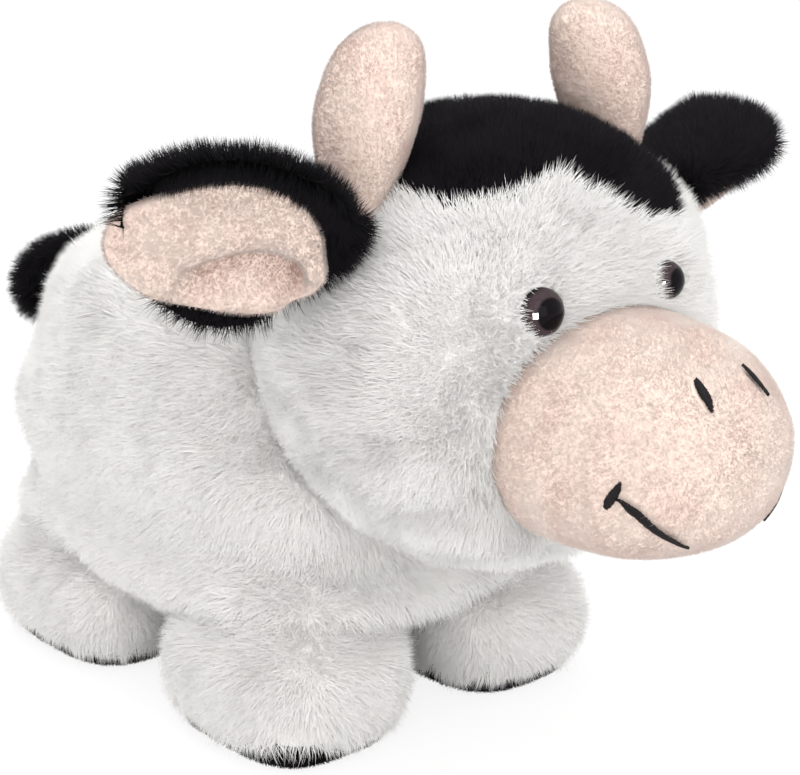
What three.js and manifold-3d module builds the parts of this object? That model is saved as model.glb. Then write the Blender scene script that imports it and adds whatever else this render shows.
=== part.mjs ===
// Stuffed toy cow on four short legs, 26 cm from muzzle to rump, in millimetres.
// The cow looks along -Y, its left side is +X and it stands on the plane z = 0.

import * as THREE from 'three';
import { mergeVertices } from 'three/addons/utils/BufferGeometryUtils.js';
import Module from 'manifold-3d';

const wasm = await Module();
wasm.setup();

// Fabric and clearances
const longPile = 5; // backing and standing hair of the white and black plush
const shortPile = 2.6; // backing and hair of the pink plush
const clearance = 0.35; // between pieces that touch
const earRoomClearance = 1.3; // round the ear's root as it swings
const cutOverrun = 4; // how far a cutting body runs past what it cuts

// Body
const bodyLength = 159;
const bodyWidth = 119;
const bodyHeight = 99;
const bodyFloorGap = 27;
const bodyMiddleY = 18.5;

// Head, round about the point that it nods and turns about
const headRadius = 59;
const headFaceReach = 45;
const headCentreY = -70;
const headCentreZ = 112;
const headFacePower = 3;
const neckSlopeDegrees = 25;
const neckWadRadius = 18;
const neckWadThickness = 8;
const neckTurnDegrees = 15;

// Muzzle
const muzzleWidth = 68;
const muzzleHeight = 57;
const muzzleLength = 46;
const muzzleRootY = -111;
const muzzleCentreZ = 98;
const muzzleDrop = 1;
const muzzleRootDepth = 20;

// Horns
const hornHeight = 47;
const hornRadius = 12.8;
const hornRootX = 41.5;
const hornRootY = -69.5;
const hornRootZ = 144;
const hornLean = 9;

// Ears
const earLength = 53;
const earHeight = 58;
const earThickness = 11;
const earCup = 21;
const earLiningShare = 0.66;
const earLiningMiddleShare = -0.2;
const earLiningReachShare = 0.96;
const earHingeX = 54;
const earHingeY = -81.5;
const earHingeZ = 144;
const earSwingDegrees = 20;

// Eyes, nostrils and mouth
const eyeDiameter = 10.5;
const eyeDome = 4.6;
const eyeShankDiameter = 3.6;
const eyeShankLength = 12;
const eyeSpreadShare = 0.3475; // of the head's radius
const eyeRiseShare = 0.305; // of the head's radius
const eyeSink = 4.2;
const washerDiameter = 14;
const washerThickness = 1.6;
const stitchWidth = 2.2;
const stitchThickness = 1.1;

// Tail
const tailReach = 32;
const tailDroop = 16.5;
const tailRadius = 6.6;
const tailHeightShare = 0.79; // of the body's height
const tailAsideDegrees = 30;
const tailWagDegrees = 30;

// Legs
const legWidth = 56;
const legLength = 68.5;
const legHingeZ = 34;
const legSpacingX = 67;
const legSpacingY = 82;
const frontLegY = -28;
const legSwingDegrees = 10;
const legTopInset = 3;
const legMouthRadius = 11;
const legCoverLift = 2.2;
const soleThickness = 5;
const soleInset = 2.4;

// Outlines as shares of the sizes above
const bodySectionShares = [
  { rise: 0, width: 0.965, length: 0.98, power: 4.6, taper: 0.07 },
  { rise: 0.05, width: 0.965, length: 0.98, power: 4.4, taper: 0.07 },
  { rise: 0.1, width: 0.935, length: 0.965, power: 3.8, taper: 0.07 },
  { rise: 0.17, width: 0.91, length: 0.955, power: 3.2, taper: 0.07 },
  { rise: 0.25, width: 0.915, length: 0.955, power: 3, taper: 0.07 },
  { rise: 0.33, width: 0.955, length: 0.975, power: 3.1, taper: 0.06 },
  { rise: 0.41, width: 0.98, length: 0.985, power: 3.2, taper: 0.05 },
  { rise: 0.49, width: 0.97, length: 0.975, power: 2.9, taper: 0.05 },
  { rise: 0.58, width: 0.935, length: 0.96, power: 2.6, taper: 0.06 },
  { rise: 0.68, width: 0.91, length: 0.95, power: 2.5, taper: 0.06 },
  { rise: 0.78, width: 0.87, length: 0.92, power: 2.4, taper: 0.06 },
  { rise: 0.87, width: 0.77, length: 0.83, power: 2.3, taper: 0.06 },
  { rise: 0.95, width: 0.56, length: 0.66, power: 2.2, taper: 0.06 },
  { rise: 0.988, width: 0.3, length: 0.4, power: 2.1, taper: 0.06 },
];
const hornSectionShares = [
  { rise: 0, radius: 0.6 },
  { rise: 0.2, radius: 0.7 },
  { rise: 0.4, radius: 0.9 },
  { rise: 0.58, radius: 1 },
  { rise: 0.76, radius: 0.94 },
  { rise: 0.89, radius: 0.81 },
  { rise: 0.97, radius: 0.54 },
];
const earSectionShares = [
  { along: 0, height: 0.42 },
  { along: 0.08, height: 0.53 },
  { along: 0.2, height: 0.77 },
  { along: 0.34, height: 0.94 },
  { along: 0.5, height: 1 },
  { along: 0.66, height: 0.95 },
  { along: 0.8, height: 0.81 },
  { along: 0.91, height: 0.59 },
  { along: 0.975, height: 0.33 },
];
const crownBorderShares = [
  { across: -0.68, above: 0.74 },
  { across: -0.53, above: 0.71 },
  { across: -0.32, above: 0.75 },
  { across: -0.12, above: 0.81 },
  { across: 0.04, above: 0.7 },
  { across: 0.25, above: 0.58 },
  { across: 0.5, above: 0.53 },
  { across: 0.63, above: 0.62 },
  { across: 0.68, above: 0.74 },
];

const legSectionShares = [
  { rise: 0, width: 0.87, length: 0.89 },
  { rise: 0.13, width: 0.955, length: 0.96 },
  { rise: 0.36, width: 1, length: 1 },
  { rise: 0.49, width: 0.98, length: 0.975 },
  { rise: 0.56, width: 0.89, length: 0.86 },
  { rise: 0.635, width: 0.765, length: 0.765 },
];
const soleSectionShares = [
  { rise: 0, size: 0.55 },
  { rise: 0.3, size: 0.88 },
  { rise: 0.62, size: 1 },
  { rise: 1, size: 0.97 },
];
const nostrilPathShares = [
  { along: 0.728, turn: 1.318, width: 0.35 },
  { along: 0.752, turn: 1.292, width: 0.85 },
  { along: 0.79, turn: 1.252, width: 1.05 },
  { along: 0.835, turn: 1.196, width: 0.85 },
  { along: 0.872, turn: 1.118, width: 0.3 },
];
const mouthPathShares = [
  { along: 0.612, turn: -0.09, width: 0.3 },
  { along: 0.659, turn: -0.128, width: 0.7 },
  { along: 0.7, turn: -0.21, width: 1 },
  { along: 0.731, turn: -0.29, width: 1.05 },
  { along: 0.782, turn: -0.548, width: 0.9 },
  { along: 0.81, turn: -0.78, width: 0.6 },
  { along: 0.822, turn: -1.02, width: 0.25 },
];
const mouthEndPathShares = [
  { along: 0.66, turn: 0.02, width: 0.4 },
  { along: 0.626, turn: -0.089, width: 1.1 },
  { along: 0.586, turn: -0.205, width: 0.5 },
];

// Colours
const fabricRoughness = 0.95;
const plasticRoughness = 0.12;
const finish = (colour, roughness) => ({ color: colour, roughness, metalness: 0 });
const white = finish('#e9e5df', fabricRoughness);
const black = finish('#17161a', fabricRoughness);
const pink = finish('#efc9b8', fabricRoughness);
const fill = finish('#f4f2ee', fabricRoughness);
const thread = finish('#1b1514', fabricRoughness);
const glossBlack = finish('#120b08', plasticRoughness);
const clearPlastic = finish('#d8d8d4', plasticRoughness);

// Counts of sides and rings
const bodySides = 28;
const innerSides = 20;
const headSides = 24;
const smallSides = 12;
const legSides = 16;
const roomSides = 12;
const eyeSteps = 5;
const halfTurn = Math.PI;
const fullTurn = 2 * Math.PI;
// The right ear is lifted and the left one hangs further back
const sides = [
  { name: 'right', sign: -1, earLean: 24, earTilt: 46, earSweep: 29 },
  { name: 'left', sign: 1, earLean: 8, earTilt: 46, earSweep: 43.03 },
];

const radians = THREE.MathUtils.degToRad;
const vector = (x, y, z) => new THREE.Vector3(x, y, z);
const alongX = vector(1, 0, 0);
const alongY = vector(0, 1, 0);
const alongZ = vector(0, 0, 1);

// Solids from meshes and back
function signedVolume(geometry) {
  const place = geometry.attributes.position;
  const index = geometry.index.array;
  const corner = [vector(), vector(), vector()];
  let volume = 0;
  for (let i = 0; i < index.length; i += 3) {
    corner.forEach((point, k) => point.fromBufferAttribute(place, index[i + k]));
    volume += corner[0].dot(corner[1].clone().cross(corner[2]));
  }
  return volume;
}

function solidFrom(geometry) {
  const bare = geometry.clone();
  bare.deleteAttribute('normal');
  bare.deleteAttribute('uv');
  const merged = mergeVertices(bare);
  const triVerts = new Uint32Array(merged.index.array);
  if (signedVolume(merged) < 0) {
    for (let i = 0; i < triVerts.length; i += 3) {
      [triVerts[i], triVerts[i + 1]] = [triVerts[i + 1], triVerts[i]];
    }
  }
  const vertProperties = new Float32Array(merged.attributes.position.array);
  return new wasm.Manifold(new wasm.Mesh({ numProp: 3, vertProperties, triVerts }));
}

function geometryFrom(solid) {
  const mesh = solid.getMesh();
  const geometry = new THREE.BufferGeometry();
  const places = new THREE.BufferAttribute(new Float32Array(mesh.vertProperties), 3);
  geometry.setAttribute('position', places);
  geometry.setIndex(new THREE.BufferAttribute(new Uint32Array(mesh.triVerts), 1));
  return geometry;
}

// A closed skin through rings of points, with a single point at each end
function skin(firstPoint, rings, lastPoint) {
  const count = rings[0].length;
  const points = [firstPoint, ...rings.flat(), lastPoint];
  const index = [];
  for (let i = 0; i < count; i += 1) {
    const next = (i + 1) % count;
    index.push(0, 1 + next, 1 + i);
    for (let r = 0; r < rings.length - 1; r += 1) {
      const low = 1 + r * count;
      const high = low + count;
      index.push(low + i, low + next, high + next, low + i, high + next, high + i);
    }
    const last = 1 + (rings.length - 1) * count;
    index.push(points.length - 1, last + i, last + next);
  }
  const geometry = new THREE.BufferGeometry().setFromPoints(points);
  geometry.setIndex(index);
  return solidFrom(geometry);
}

const rounded = (value, power) => Math.sign(value) * Math.abs(value) ** (2 / power);

// A ring of points with half sizes across and up, squarer for a higher power
function ring(centre, across, up, power, count) {
  const points = [];
  for (let i = 0; i < count; i += 1) {
    const angle = (i / count) * fullTurn;
    const point = centre.clone();
    point.addScaledVector(across, rounded(Math.cos(angle), power));
    point.addScaledVector(up, rounded(Math.sin(angle), power));
    points.push(point);
  }
  return points;
}

// The room that a body takes up while it turns about an axis
function roomOf(solid, pivot, axis, fromDegrees, toDegrees, steps) {
  const copies = [];
  for (let i = 0; i <= steps; i += 1) {
    const angle = radians(fromDegrees + ((toDegrees - fromDegrees) * i) / steps);
    const turn = new THREE.Matrix4().makeRotationAxis(axis, angle);
    const back = new THREE.Matrix4().makeTranslation(-pivot.x, -pivot.y, -pivot.z);
    const there = new THREE.Matrix4().makeTranslation(pivot.x, pivot.y, pivot.z);
    const place = there.multiply(turn).multiply(back);
    copies.push(solid.transform(place.elements));
  }
  return copies.reduce((sum, copy) => sum.add(copy));
}

function mirrored(solid) {
  const matrix = new THREE.Matrix4().makeScale(-1, 1, 1);
  return solid.transform(matrix.elements);
}
const onSide = (solid, sign) => (sign > 0 ? solid : mirrored(solid));

function middleOf(points) {
  const sum = points.reduce((total, point) => total.add(point), vector(0, 0, 0));
  return sum.divideScalar(points.length);
}

// A body of revolution about a direction from a point, from radius and height pairs
function turned(origin, direction, profile, count) {
  const points = profile.map(([radius, height]) => new THREE.Vector2(radius, height));
  const geometry = new THREE.LatheGeometry(points, count);
  const turn = new THREE.Quaternion().setFromUnitVectors(alongY, direction);
  geometry.applyQuaternion(turn);
  geometry.translate(origin.x, origin.y, origin.z);
  return solidFrom(geometry);
}

// Body barrel: level sections stacked from the belly to the back, narrower at the rump
function bodyForm(grow, count = bodySides) {
  const middle = (rise) => vector(
    0,
    bodyMiddleY,
    bodyFloorGap - grow + rise * (bodyHeight + 2 * grow),
  );
  const rings = bodySectionShares.map(({ rise, width, length, power, taper }) => {
    const halfLength = (length * bodyLength) / 2 + grow;
    const halfWidth = (width * bodyWidth) / 2 + grow;
    const points = ring(middle(rise), vector(halfWidth, 0, 0), vector(0, halfLength, 0), power, count);
    for (const point of points) {
      point.x *= 1 - taper * (Math.max(0, point.y - bodyMiddleY) / halfLength) ** 2;
    }
    return points;
  });
  return skin(middle(0), rings, middle(1));
}

// Head: a ball behind, a flatter face in front
const headCentre = vector(0, headCentreY, headCentreZ);
const headRingAngles = 9;
function headForm(grow, count = headSides) {
  const radius = headRadius + grow;
  const reach = headFaceReach + grow;
  const profile = [[0, -radius]];
  for (let i = 1; i < headRingAngles; i += 1) {
    const angle = (i / headRingAngles) * (halfTurn / 2);
    profile.push([radius * Math.sin(angle), -radius * Math.cos(angle)]);
  }
  for (let i = headRingAngles; i > 0; i -= 1) {
    const angle = (i / headRingAngles) * (halfTurn / 2);
    profile.push([
      radius * rounded(Math.sin(angle), headFacePower),
      reach * rounded(Math.cos(angle), headFacePower),
    ]);
  }
  profile.push([0, reach]);
  return turned(headCentre, vector(0, -1, 0), profile, count);
}

// Where the face lies at a place across and above the head's centre, and its outward direction
function facePoint(across, above) {
  const out = Math.hypot(across, above) / headRadius;
  const forward = (1 - out ** headFacePower) ** (1 / headFacePower);
  return vector(across, headCentreY - headFaceReach * forward, headCentreZ + above);
}
function faceNormal(across, above) {
  const step = clearance;
  const here = facePoint(across, above);
  const aside = facePoint(across + step, above).sub(here);
  const over = facePoint(across, above + step).sub(here);
  return aside.cross(over).normalize();
}

// A room round the head that clears it however it turns about its centre
const bowlSides = 24;
function headRoom() {
  const flat = Math.cos(halfTurn / bowlSides);
  const radius = (headRadius + clearance) / flat ** 2;
  const ball = new THREE.SphereGeometry(radius, bowlSides, bowlSides / 2);
  ball.translate(headCentre.x, headCentre.y, headCentre.z);
  return solidFrom(ball);
}

// Neck: a wad of fill between the head's ball and the body
const neckDirection = vector(0, Math.cos(radians(neckSlopeDegrees)), -Math.sin(radians(neckSlopeDegrees)));
const neckSteps = 3;
function ballSlice(innerRadius, outerRadius, halfAngle) {
  const profile = [];
  for (let i = 0; i <= neckSteps; i += 1) {
    const angle = (i / neckSteps) * halfAngle;
    profile.push([outerRadius * Math.sin(angle), outerRadius * Math.cos(angle)]);
  }
  for (let i = neckSteps; i >= 0; i -= 1) {
    const angle = (i / neckSteps) * halfAngle;
    profile.push([innerRadius * Math.sin(angle), innerRadius * Math.cos(angle)]);
  }
  profile[0][0] = 0;
  profile[profile.length - 1][0] = 0;
  return turned(headCentre, neckDirection, profile, legSides);
}
const neckHalfAngle = Math.asin(neckWadRadius / headRadius);
const neckInnerRadius = headRadius + 2 * clearance;
const neckOuterRadius = neckInnerRadius + neckWadThickness;
const neckFlat = Math.cos(halfTurn / legSides) ** 2;
const neckPocketAngle = (neckHalfAngle + radians(neckTurnDegrees) + clearance / headRadius) / neckFlat;
const neckPocketRadius = (neckOuterRadius + clearance) / Math.cos(neckPocketAngle / (2 * neckSteps));
const neckWad = ballSlice(neckInnerRadius, neckOuterRadius, neckHalfAngle);
const neckPocket = ballSlice(headRadius - cutOverrun, neckPocketRadius, neckPocketAngle);
const neckHole = ballSlice(headRadius - 2 * longPile, headRadius + cutOverrun, neckHalfAngle);
const neckPlug = ballSlice(
  headRadius - 2 * longPile,
  headRadius - clearance,
  neckHalfAngle - clearance / headRadius,
);

// Muzzle: sections that keep their size at the seam and round off towards the nose
const muzzlePower = 2.3;
const muzzleNosePower = 2.4;
const muzzleSteps = 6;
function muzzleSection(along, grow) {
  const size = (1 - along ** muzzleNosePower) ** (1 / muzzleNosePower);
  return {
    middle: vector(
      0,
      muzzleRootY - along * (muzzleLength + grow),
      muzzleCentreZ - muzzleDrop * along ** 2,
    ),
    across: size * (muzzleWidth / 2 + grow),
    up: size * (muzzleHeight / 2 + grow),
  };
}
function muzzlePoint(along, angle, grow) {
  const { middle, across, up } = muzzleSection(along, grow);
  middle.x += across * rounded(Math.cos(angle), muzzlePower);
  middle.z += up * rounded(Math.sin(angle), muzzlePower);
  return middle;
}
function muzzleForm(grow, rootDepth) {
  const rings = [];
  const root = muzzleSection(0, grow);
  const sideways = vector(root.across, 0, 0);
  const upwards = vector(0, 0, root.up);
  const back = root.middle.clone().addScaledVector(alongY, rootDepth);
  rings.push(ring(back, sideways, upwards, muzzlePower, headSides));
  for (let i = 0; i < muzzleSteps; i += 1) {
    const along = Math.sin((i / muzzleSteps) * (halfTurn / 2));
    const section = muzzleSection(along, grow);
    rings.push(ring(
      section.middle,
      vector(section.across, 0, 0),
      vector(0, 0, section.up),
      muzzlePower,
      headSides,
    ));
  }
  return skin(back, rings, muzzleSection(1, grow).middle);
}

// Crown: the black panel over the top of the head, above a wavy border
function crownRoom(grow) {
  const outline = crownBorderShares.map(({ across, above }) => new THREE.Vector2(
    across * (headRadius + grow),
    above * headRadius - grow,
  ));
  const top = headRadius + cutOverrun;
  outline.push(new THREE.Vector2(outline.at(-1).x, top), new THREE.Vector2(outline[0].x, top));
  const depth = 2 * top;
  const prism = new THREE.ExtrudeGeometry(new THREE.Shape(outline), { depth, bevelEnabled: false });
  prism.rotateX(halfTurn / 2);
  prism.translate(0, headCentreY + depth / 2, headCentreZ);
  return solidFrom(prism);
}

// Horn: a fat drop that leans inwards as it rises
function hornForm(grow) {
  const place = (rise) => vector(
    hornRootX - hornLean * rise ** 2,
    hornRootY,
    hornRootZ + rise * (hornHeight + grow) - (1 - rise) * Math.max(0, grow),
  );
  const rings = hornSectionShares.map(({ rise, radius }) => {
    const size = radius * hornRadius + grow;
    return ring(place(rise), vector(size, 0, 0), vector(0, size, 0), 2, smallSides);
  });
  return skin(place(0), rings, place(1));
}

// Ear: a cupped leaf that stands out sideways and backwards from its hinge
const earHinge = vector(earHingeX, earHingeY, earHingeZ);
const earRootRound = earThickness / 2;
function earAxes({ earLean, earTilt, earSweep }) {
  const lean = alongZ.clone().applyAxisAngle(alongY, -radians(earLean));
  const along = alongX.clone()
    .applyAxisAngle(alongY, -radians(earLean))
    .applyAxisAngle(lean, radians(earSweep));
  const up = lean.clone().applyAxisAngle(along, radians(earTilt));
  return { along, up, out: along.clone().cross(up).normalize() };
}
function earPoint(axes, along, high, out) {
  const point = earHinge.clone().addScaledVector(axes.along, along);
  return point.addScaledVector(axes.up, high).addScaledVector(axes.out, out);
}
function earSections() {
  return earSectionShares.map(({ along, height }) => {
    const cup = earCup * Math.sin(Math.min(1, along * 2) * (halfTurn / 2)) * (1 - along / 2);
    const thick = (earThickness / 2) * Math.sqrt(1 - along ** 4);
    return { along: along * earLength, half: (height * earHeight) / 2, cup, thick };
  });
}
function earRing(axes, along, half, cup, thick, count) {
  const points = [];
  for (let i = 0; i < count; i += 1) {
    const angle = (i / count) * fullTurn;
    const out = cup * Math.cos(angle) ** 2 + thick * Math.sin(angle);
    points.push(earPoint(axes, along, half * Math.cos(angle), out));
  }
  return points;
}
function earBackForm(axes, grow, count, sections) {
  const root = sections[0];
  const rings = [];
  for (const turn of [2, 1]) {
    const angle = (turn / 3) * (halfTurn / 2);
    const along = -earRootRound * Math.sin(angle) - grow;
    const half = (root.half + grow) * Math.cos(angle) ** 0.3;
    rings.push(earRing(axes, along, half, 0, (root.thick + grow) * Math.cos(angle), count));
  }
  for (const { along, half, cup, thick } of sections) {
    rings.push(earRing(axes, along, half + grow, cup, thick + grow, count));
  }
  const last = sections.at(-1);
  const tip = last.along > 0.9 * earLength ? earLength + grow : last.along;
  return skin(earPoint(axes, -earRootRound - grow, 0, 0), rings, earPoint(axes, tip, 0, last.cup / 2));
}
function earLiningForm(axes) {
  const rings = earSections().slice(2).map(({ along, half, cup, thick }) => {
    const points = [];
    for (let k = 0; k < smallSides; k += 1) {
      const angle = (k / smallSides) * fullTurn;
      const high = earLiningMiddleShare + earLiningShare * Math.cos(angle);
      const seat = cup * high ** 2 + thick * Math.sqrt(1 - high ** 2);
      const front = Math.sin(angle) * shortPile;
      points.push(earPoint(axes, along * earLiningReachShare, high * half, seat + clearance + front));
    }
    return points;
  });
  return skin(middleOf(rings[0]), rings, middleOf(rings.at(-1)));
}

// Eye: a glossy dome with a shank that goes through the cover into a washer
const eyeSpread = eyeSpreadShare * headRadius;
const eyeRise = eyeRiseShare * headRadius;
function eyeForm(sign, grow) {
  const radius = eyeDiameter / 2 + grow;
  const profile = [[0, -eyeShankLength - grow]];
  profile.push([eyeShankDiameter / 2 + grow, -eyeShankLength - grow]);
  profile.push([eyeShankDiameter / 2 + grow, -grow]);
  for (let i = 0; i < eyeSteps; i += 1) {
    const angle = (i / eyeSteps) * (halfTurn / 2);
    profile.push([radius * Math.cos(angle), (eyeDome + grow) * Math.sin(angle) - grow]);
  }
  profile.push([0, eyeDome]);
  const normal = faceNormal(sign * eyeSpread, eyeRise);
  const seat = facePoint(sign * eyeSpread, eyeRise).addScaledVector(normal, -eyeSink);
  return turned(seat, normal, profile, smallSides);
}
function eyeSocket(sign) {
  const radius = eyeDiameter / 2 + clearance;
  const profile = [[0, -clearance], [radius, -clearance], [radius, longPile], [0, longPile]];
  const normal = faceNormal(sign * eyeSpread, eyeRise);
  const seat = facePoint(sign * eyeSpread, eyeRise).addScaledVector(normal, -eyeSink);
  return turned(seat, normal, profile, smallSides);
}
function washerForm(sign, grow) {
  const low = -(longPile - eyeSink) - washerThickness - 3 * clearance;
  const inner = eyeShankDiameter / 2 + clearance;
  const outer = washerDiameter / 2 + grow;
  const high = low + washerThickness;
  const profile = [[inner, low], [outer, low], [outer, high], [inner, high], [inner, low]];
  const filled = [[0, low - grow], [outer, low - grow], [outer, 0], [0, 0]];
  const normal = faceNormal(sign * eyeSpread, eyeRise);
  const seat = facePoint(sign * eyeSpread, eyeRise).addScaledVector(normal, -eyeSink);
  return turned(seat, normal, grow > 0 ? filled : profile, smallSides);
}

// Satin stitch: a low ridge of thread over a path on the muzzle, tapered at both ends
const stitchSides = 8;
function stitchForm(path, sign) {
  const rings = path.map(({ along, turn: angle, width }) => {
    const here = muzzlePoint(along, angle, 0);
    const step = clearance / muzzleLength;
    const on = muzzlePoint(along + step, angle, 0).sub(here).normalize();
    const round = muzzlePoint(along, angle + step, 0).sub(here).normalize();
    const out = round.clone().cross(on).normalize();
    if (out.dot(here.clone().sub(muzzleSection(0, 0).middle)) < 0) {
      out.negate();
    }
    return { here, out, width };
  });
  const points = rings.map(({ here, out, width }, i) => {
    const before = rings[Math.max(0, i - 1)].here;
    const after = rings[Math.min(rings.length - 1, i + 1)].here;
    const on = after.clone().sub(before).normalize();
    const across = on.clone().cross(out).normalize().multiplyScalar((width * stitchWidth) / 2);
    const centre = here.clone().addScaledVector(out, clearance + stitchThickness / 2);
    return ring(centre, across, out.clone().multiplyScalar(stitchThickness / 2), 2, stitchSides);
  });
  return onSide(skin(middleOf(points[0]), points, middleOf(points.at(-1))), sign);
}

// Tail: a stuffed crescent in an upright plane turned a little aside
const tailRootY = bodyMiddleY + bodyLength / 2 - tailRadius;
const tailRootZ = bodyFloorGap + tailHeightShare * bodyHeight;
const tailHinge = vector(0, tailRootY, tailRootZ);
const tailBack = alongY.clone().applyAxisAngle(alongZ, radians(tailAsideDegrees));
const tailSteps = 7;
const tailFanSteps = 8;
const tailArc = radians(104);
const tailRootShare = 0.8;
const tailCapAngle = halfTurn / 4;
function tailMiddle(share) {
  const angle = share * tailArc;
  const point = tailHinge.clone().addScaledVector(tailBack, tailReach * Math.sin(angle));
  point.z -= tailDroop * (1 - Math.cos(angle));
  return point;
}
function tailForm() {
  const rings = [];
  const addRing = (share, radius, beyond) => {
    const step = 1 / tailSteps;
    const on = tailMiddle(share + step).sub(tailMiddle(share - step)).normalize();
    const across = on.clone().cross(alongZ).normalize();
    const up = across.clone().cross(on).normalize();
    const middle = tailMiddle(share).addScaledVector(on, beyond);
    rings.push(ring(middle, across.multiplyScalar(radius), up.multiplyScalar(radius), 2, smallSides));
    return middle;
  };
  const rootRadius = tailRadius * tailRootShare;
  addRing(0, rootRadius * Math.sin(tailCapAngle), -rootRadius * Math.cos(tailCapAngle));
  for (let i = 0; i <= tailSteps; i += 1) {
    const share = i / tailSteps;
    addRing(share, tailRadius * (1 - (1 - tailRootShare) * (1 - share) ** 2), 0);
  }
  addRing(1, tailRadius * Math.sin(tailCapAngle), tailRadius * Math.cos(tailCapAngle));
  const start = tailHinge.clone().addScaledVector(tailBack, -rootRadius);
  const endOn = tailMiddle(1 + 1 / tailSteps).sub(tailMiddle(1 - 1 / tailSteps)).normalize();
  return skin(start, rings, tailMiddle(1).addScaledVector(endOn, tailRadius));
}

// The fan-shaped room in the rump that the tail's root wags in
function tailRoom() {
  const radius = tailRadius * tailRootShare + clearance;
  const wide = tailRadius + clearance;
  const middle = halfTurn / 2 + radians(tailAsideDegrees);
  const wag = radians(tailWagDegrees);
  const reach = 2 * tailRadius;
  const outline = [];
  const edge = (angle, side) => new THREE.Vector2(
    reach * Math.cos(angle) + wide * Math.cos(angle + (side * halfTurn) / 2),
    reach * Math.sin(angle) + wide * Math.sin(angle + (side * halfTurn) / 2),
  );
  outline.push(edge(middle + wag, 1));
  const from = middle + wag + halfTurn / 2;
  const arc = halfTurn - 2 * wag;
  for (let i = 0; i <= tailFanSteps; i += 1) {
    const angle = from + (arc * i) / tailFanSteps;
    outline.push(new THREE.Vector2(radius * Math.cos(angle), radius * Math.sin(angle)));
  }
  outline.push(edge(middle - wag, -1));
  const depth = 2 * wide + tailRadius;
  const fan = new THREE.ExtrudeGeometry(new THREE.Shape(outline), { depth, bevelEnabled: false });
  fan.translate(tailHinge.x, tailHinge.y, tailHinge.z - depth + radius);
  return solidFrom(fan);
}

// Leg: a block with rounded corners under a half-round top that turns about the hip
const legPower = 3.2;
const legTopShare = 0.765;
const legTopSteps = 5;
const legTopRadius = (legTopShare * legLength) / 2;
function legPlaces() {
  const places = [];
  for (const { name, sign } of sides) {
    places.push({ name: `front_${name}`, x: (sign * legSpacingX) / 2, y: frontLegY });
    places.push({ name: `rear_${name}`, x: (sign * legSpacingX) / 2, y: frontLegY + legSpacingY });
  }
  return places;
}
function legForm({ x, y }, grow, floor) {
  const rings = [];
  const neckZ = legHingeZ * legSectionShares.at(-1).rise;
  const inset = (z) => Math.sign(x) * legTopInset * Math.min(1, (z / neckZ) ** 2);
  const addRing = (z, width, length) => {
    rings.push(ring(
      vector(x - inset(z), y, z),
      vector(width / 2 + grow, 0, 0),
      vector(0, length / 2 + grow, 0),
      legPower,
      legSides,
    ));
  };
  for (const { rise, width, length } of legSectionShares) {
    addRing(floor + rise * (legHingeZ - floor), width * legWidth, length * legLength);
  }
  for (let i = 0; i < legTopSteps; i += 1) {
    const angle = (i / legTopSteps) * (halfTurn / 2);
    const narrowing = Math.cos(angle) ** 0.5;
    const z = legHingeZ + (legTopRadius + grow) * Math.sin(angle);
    addRing(z, legTopShare * legWidth * narrowing, 2 * legTopRadius * Math.cos(angle));
  }
  const top = legHingeZ + legTopRadius + grow;
  return skin(vector(x, y, floor), rings, vector(x - inset(top), y, top));
}

// The open top of a leg's cover, where its filling meets the body's
function legMouth({ x, y }) {
  const profile = [[0, 0], [legMouthRadius, 0], [legMouthRadius, legTopRadius], [0, legTopRadius]];
  const foot = vector(x - Math.sign(x) * legTopInset, y, legHingeZ + legTopRadius / 2);
  return turned(foot, alongZ, profile, legSides);
}

// The room that a leg takes up in the body as it swings about its hip
function legRoom({ x, y }) {
  const swing = radians(legSwingDegrees);
  const steps = 2 * legTopSteps;
  const radius = (legTopRadius + clearance) / Math.cos(halfTurn / (2 * steps));
  const below = legHingeZ - bodyFloorGap + cutOverrun;
  const flare = (radius + below * Math.sin(swing)) / Math.cos(swing);
  const outline = [new THREE.Vector2(flare, -below)];
  for (let i = 0; i <= steps; i += 1) {
    const angle = (i / steps) * halfTurn;
    outline.push(new THREE.Vector2(radius * Math.cos(angle), radius * Math.sin(angle)));
  }
  outline.push(new THREE.Vector2(-flare, -below));
  const depth = legTopShare * legWidth + 2 * clearance;
  const room = new THREE.ExtrudeGeometry(new THREE.Shape(outline), { depth, bevelEnabled: false });
  room.rotateX(halfTurn / 2);
  room.rotateZ(halfTurn / 2);
  room.translate(x - Math.sign(x) * legTopInset - depth / 2, y, legHingeZ);
  return solidFrom(room);
}

// Sole: a pad with a rounded edge, a little inside the leg's lower end
function soleForm({ x, y }, grow) {
  const { width, length } = legSectionShares[0];
  const rings = soleSectionShares.map(({ rise, size }) => {
    const inset = soleInset / size;
    return ring(
      vector(x, y, -grow + rise * (soleThickness + 2 * grow)),
      vector((width * legWidth) / 2 - inset + grow, 0, 0),
      vector(0, (length * legLength) / 2 - inset + grow, 0),
      legPower,
      legSides,
    );
  });
  return skin(vector(x, y, -grow), rings, vector(x, y, soleThickness + grow));
}

// The assembly
const cow = new THREE.Group();
function add(name, solid, look) {
  const mesh = new THREE.Mesh(geometryFrom(solid), new THREE.MeshStandardMaterial(look));
  mesh.name = name;
  cow.add(mesh);
}

const inner = longPile;
const innerFit = longPile + clearance;
const bodyRooms = [headRoom(), neckPocket, tailRoom(), ...legPlaces().map(legRoom)];
const cutBy = (solid, rooms) => rooms.reduce((rest, room) => rest.subtract(room), solid);

add('body_cover', cutBy(bodyForm(0).subtract(bodyForm(-inner, innerSides)), bodyRooms), white);
add('body_stuffing', cutBy(bodyForm(-innerFit, innerSides), bodyRooms), fill);
add('neck_stuffing', neckWad, fill);

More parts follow.
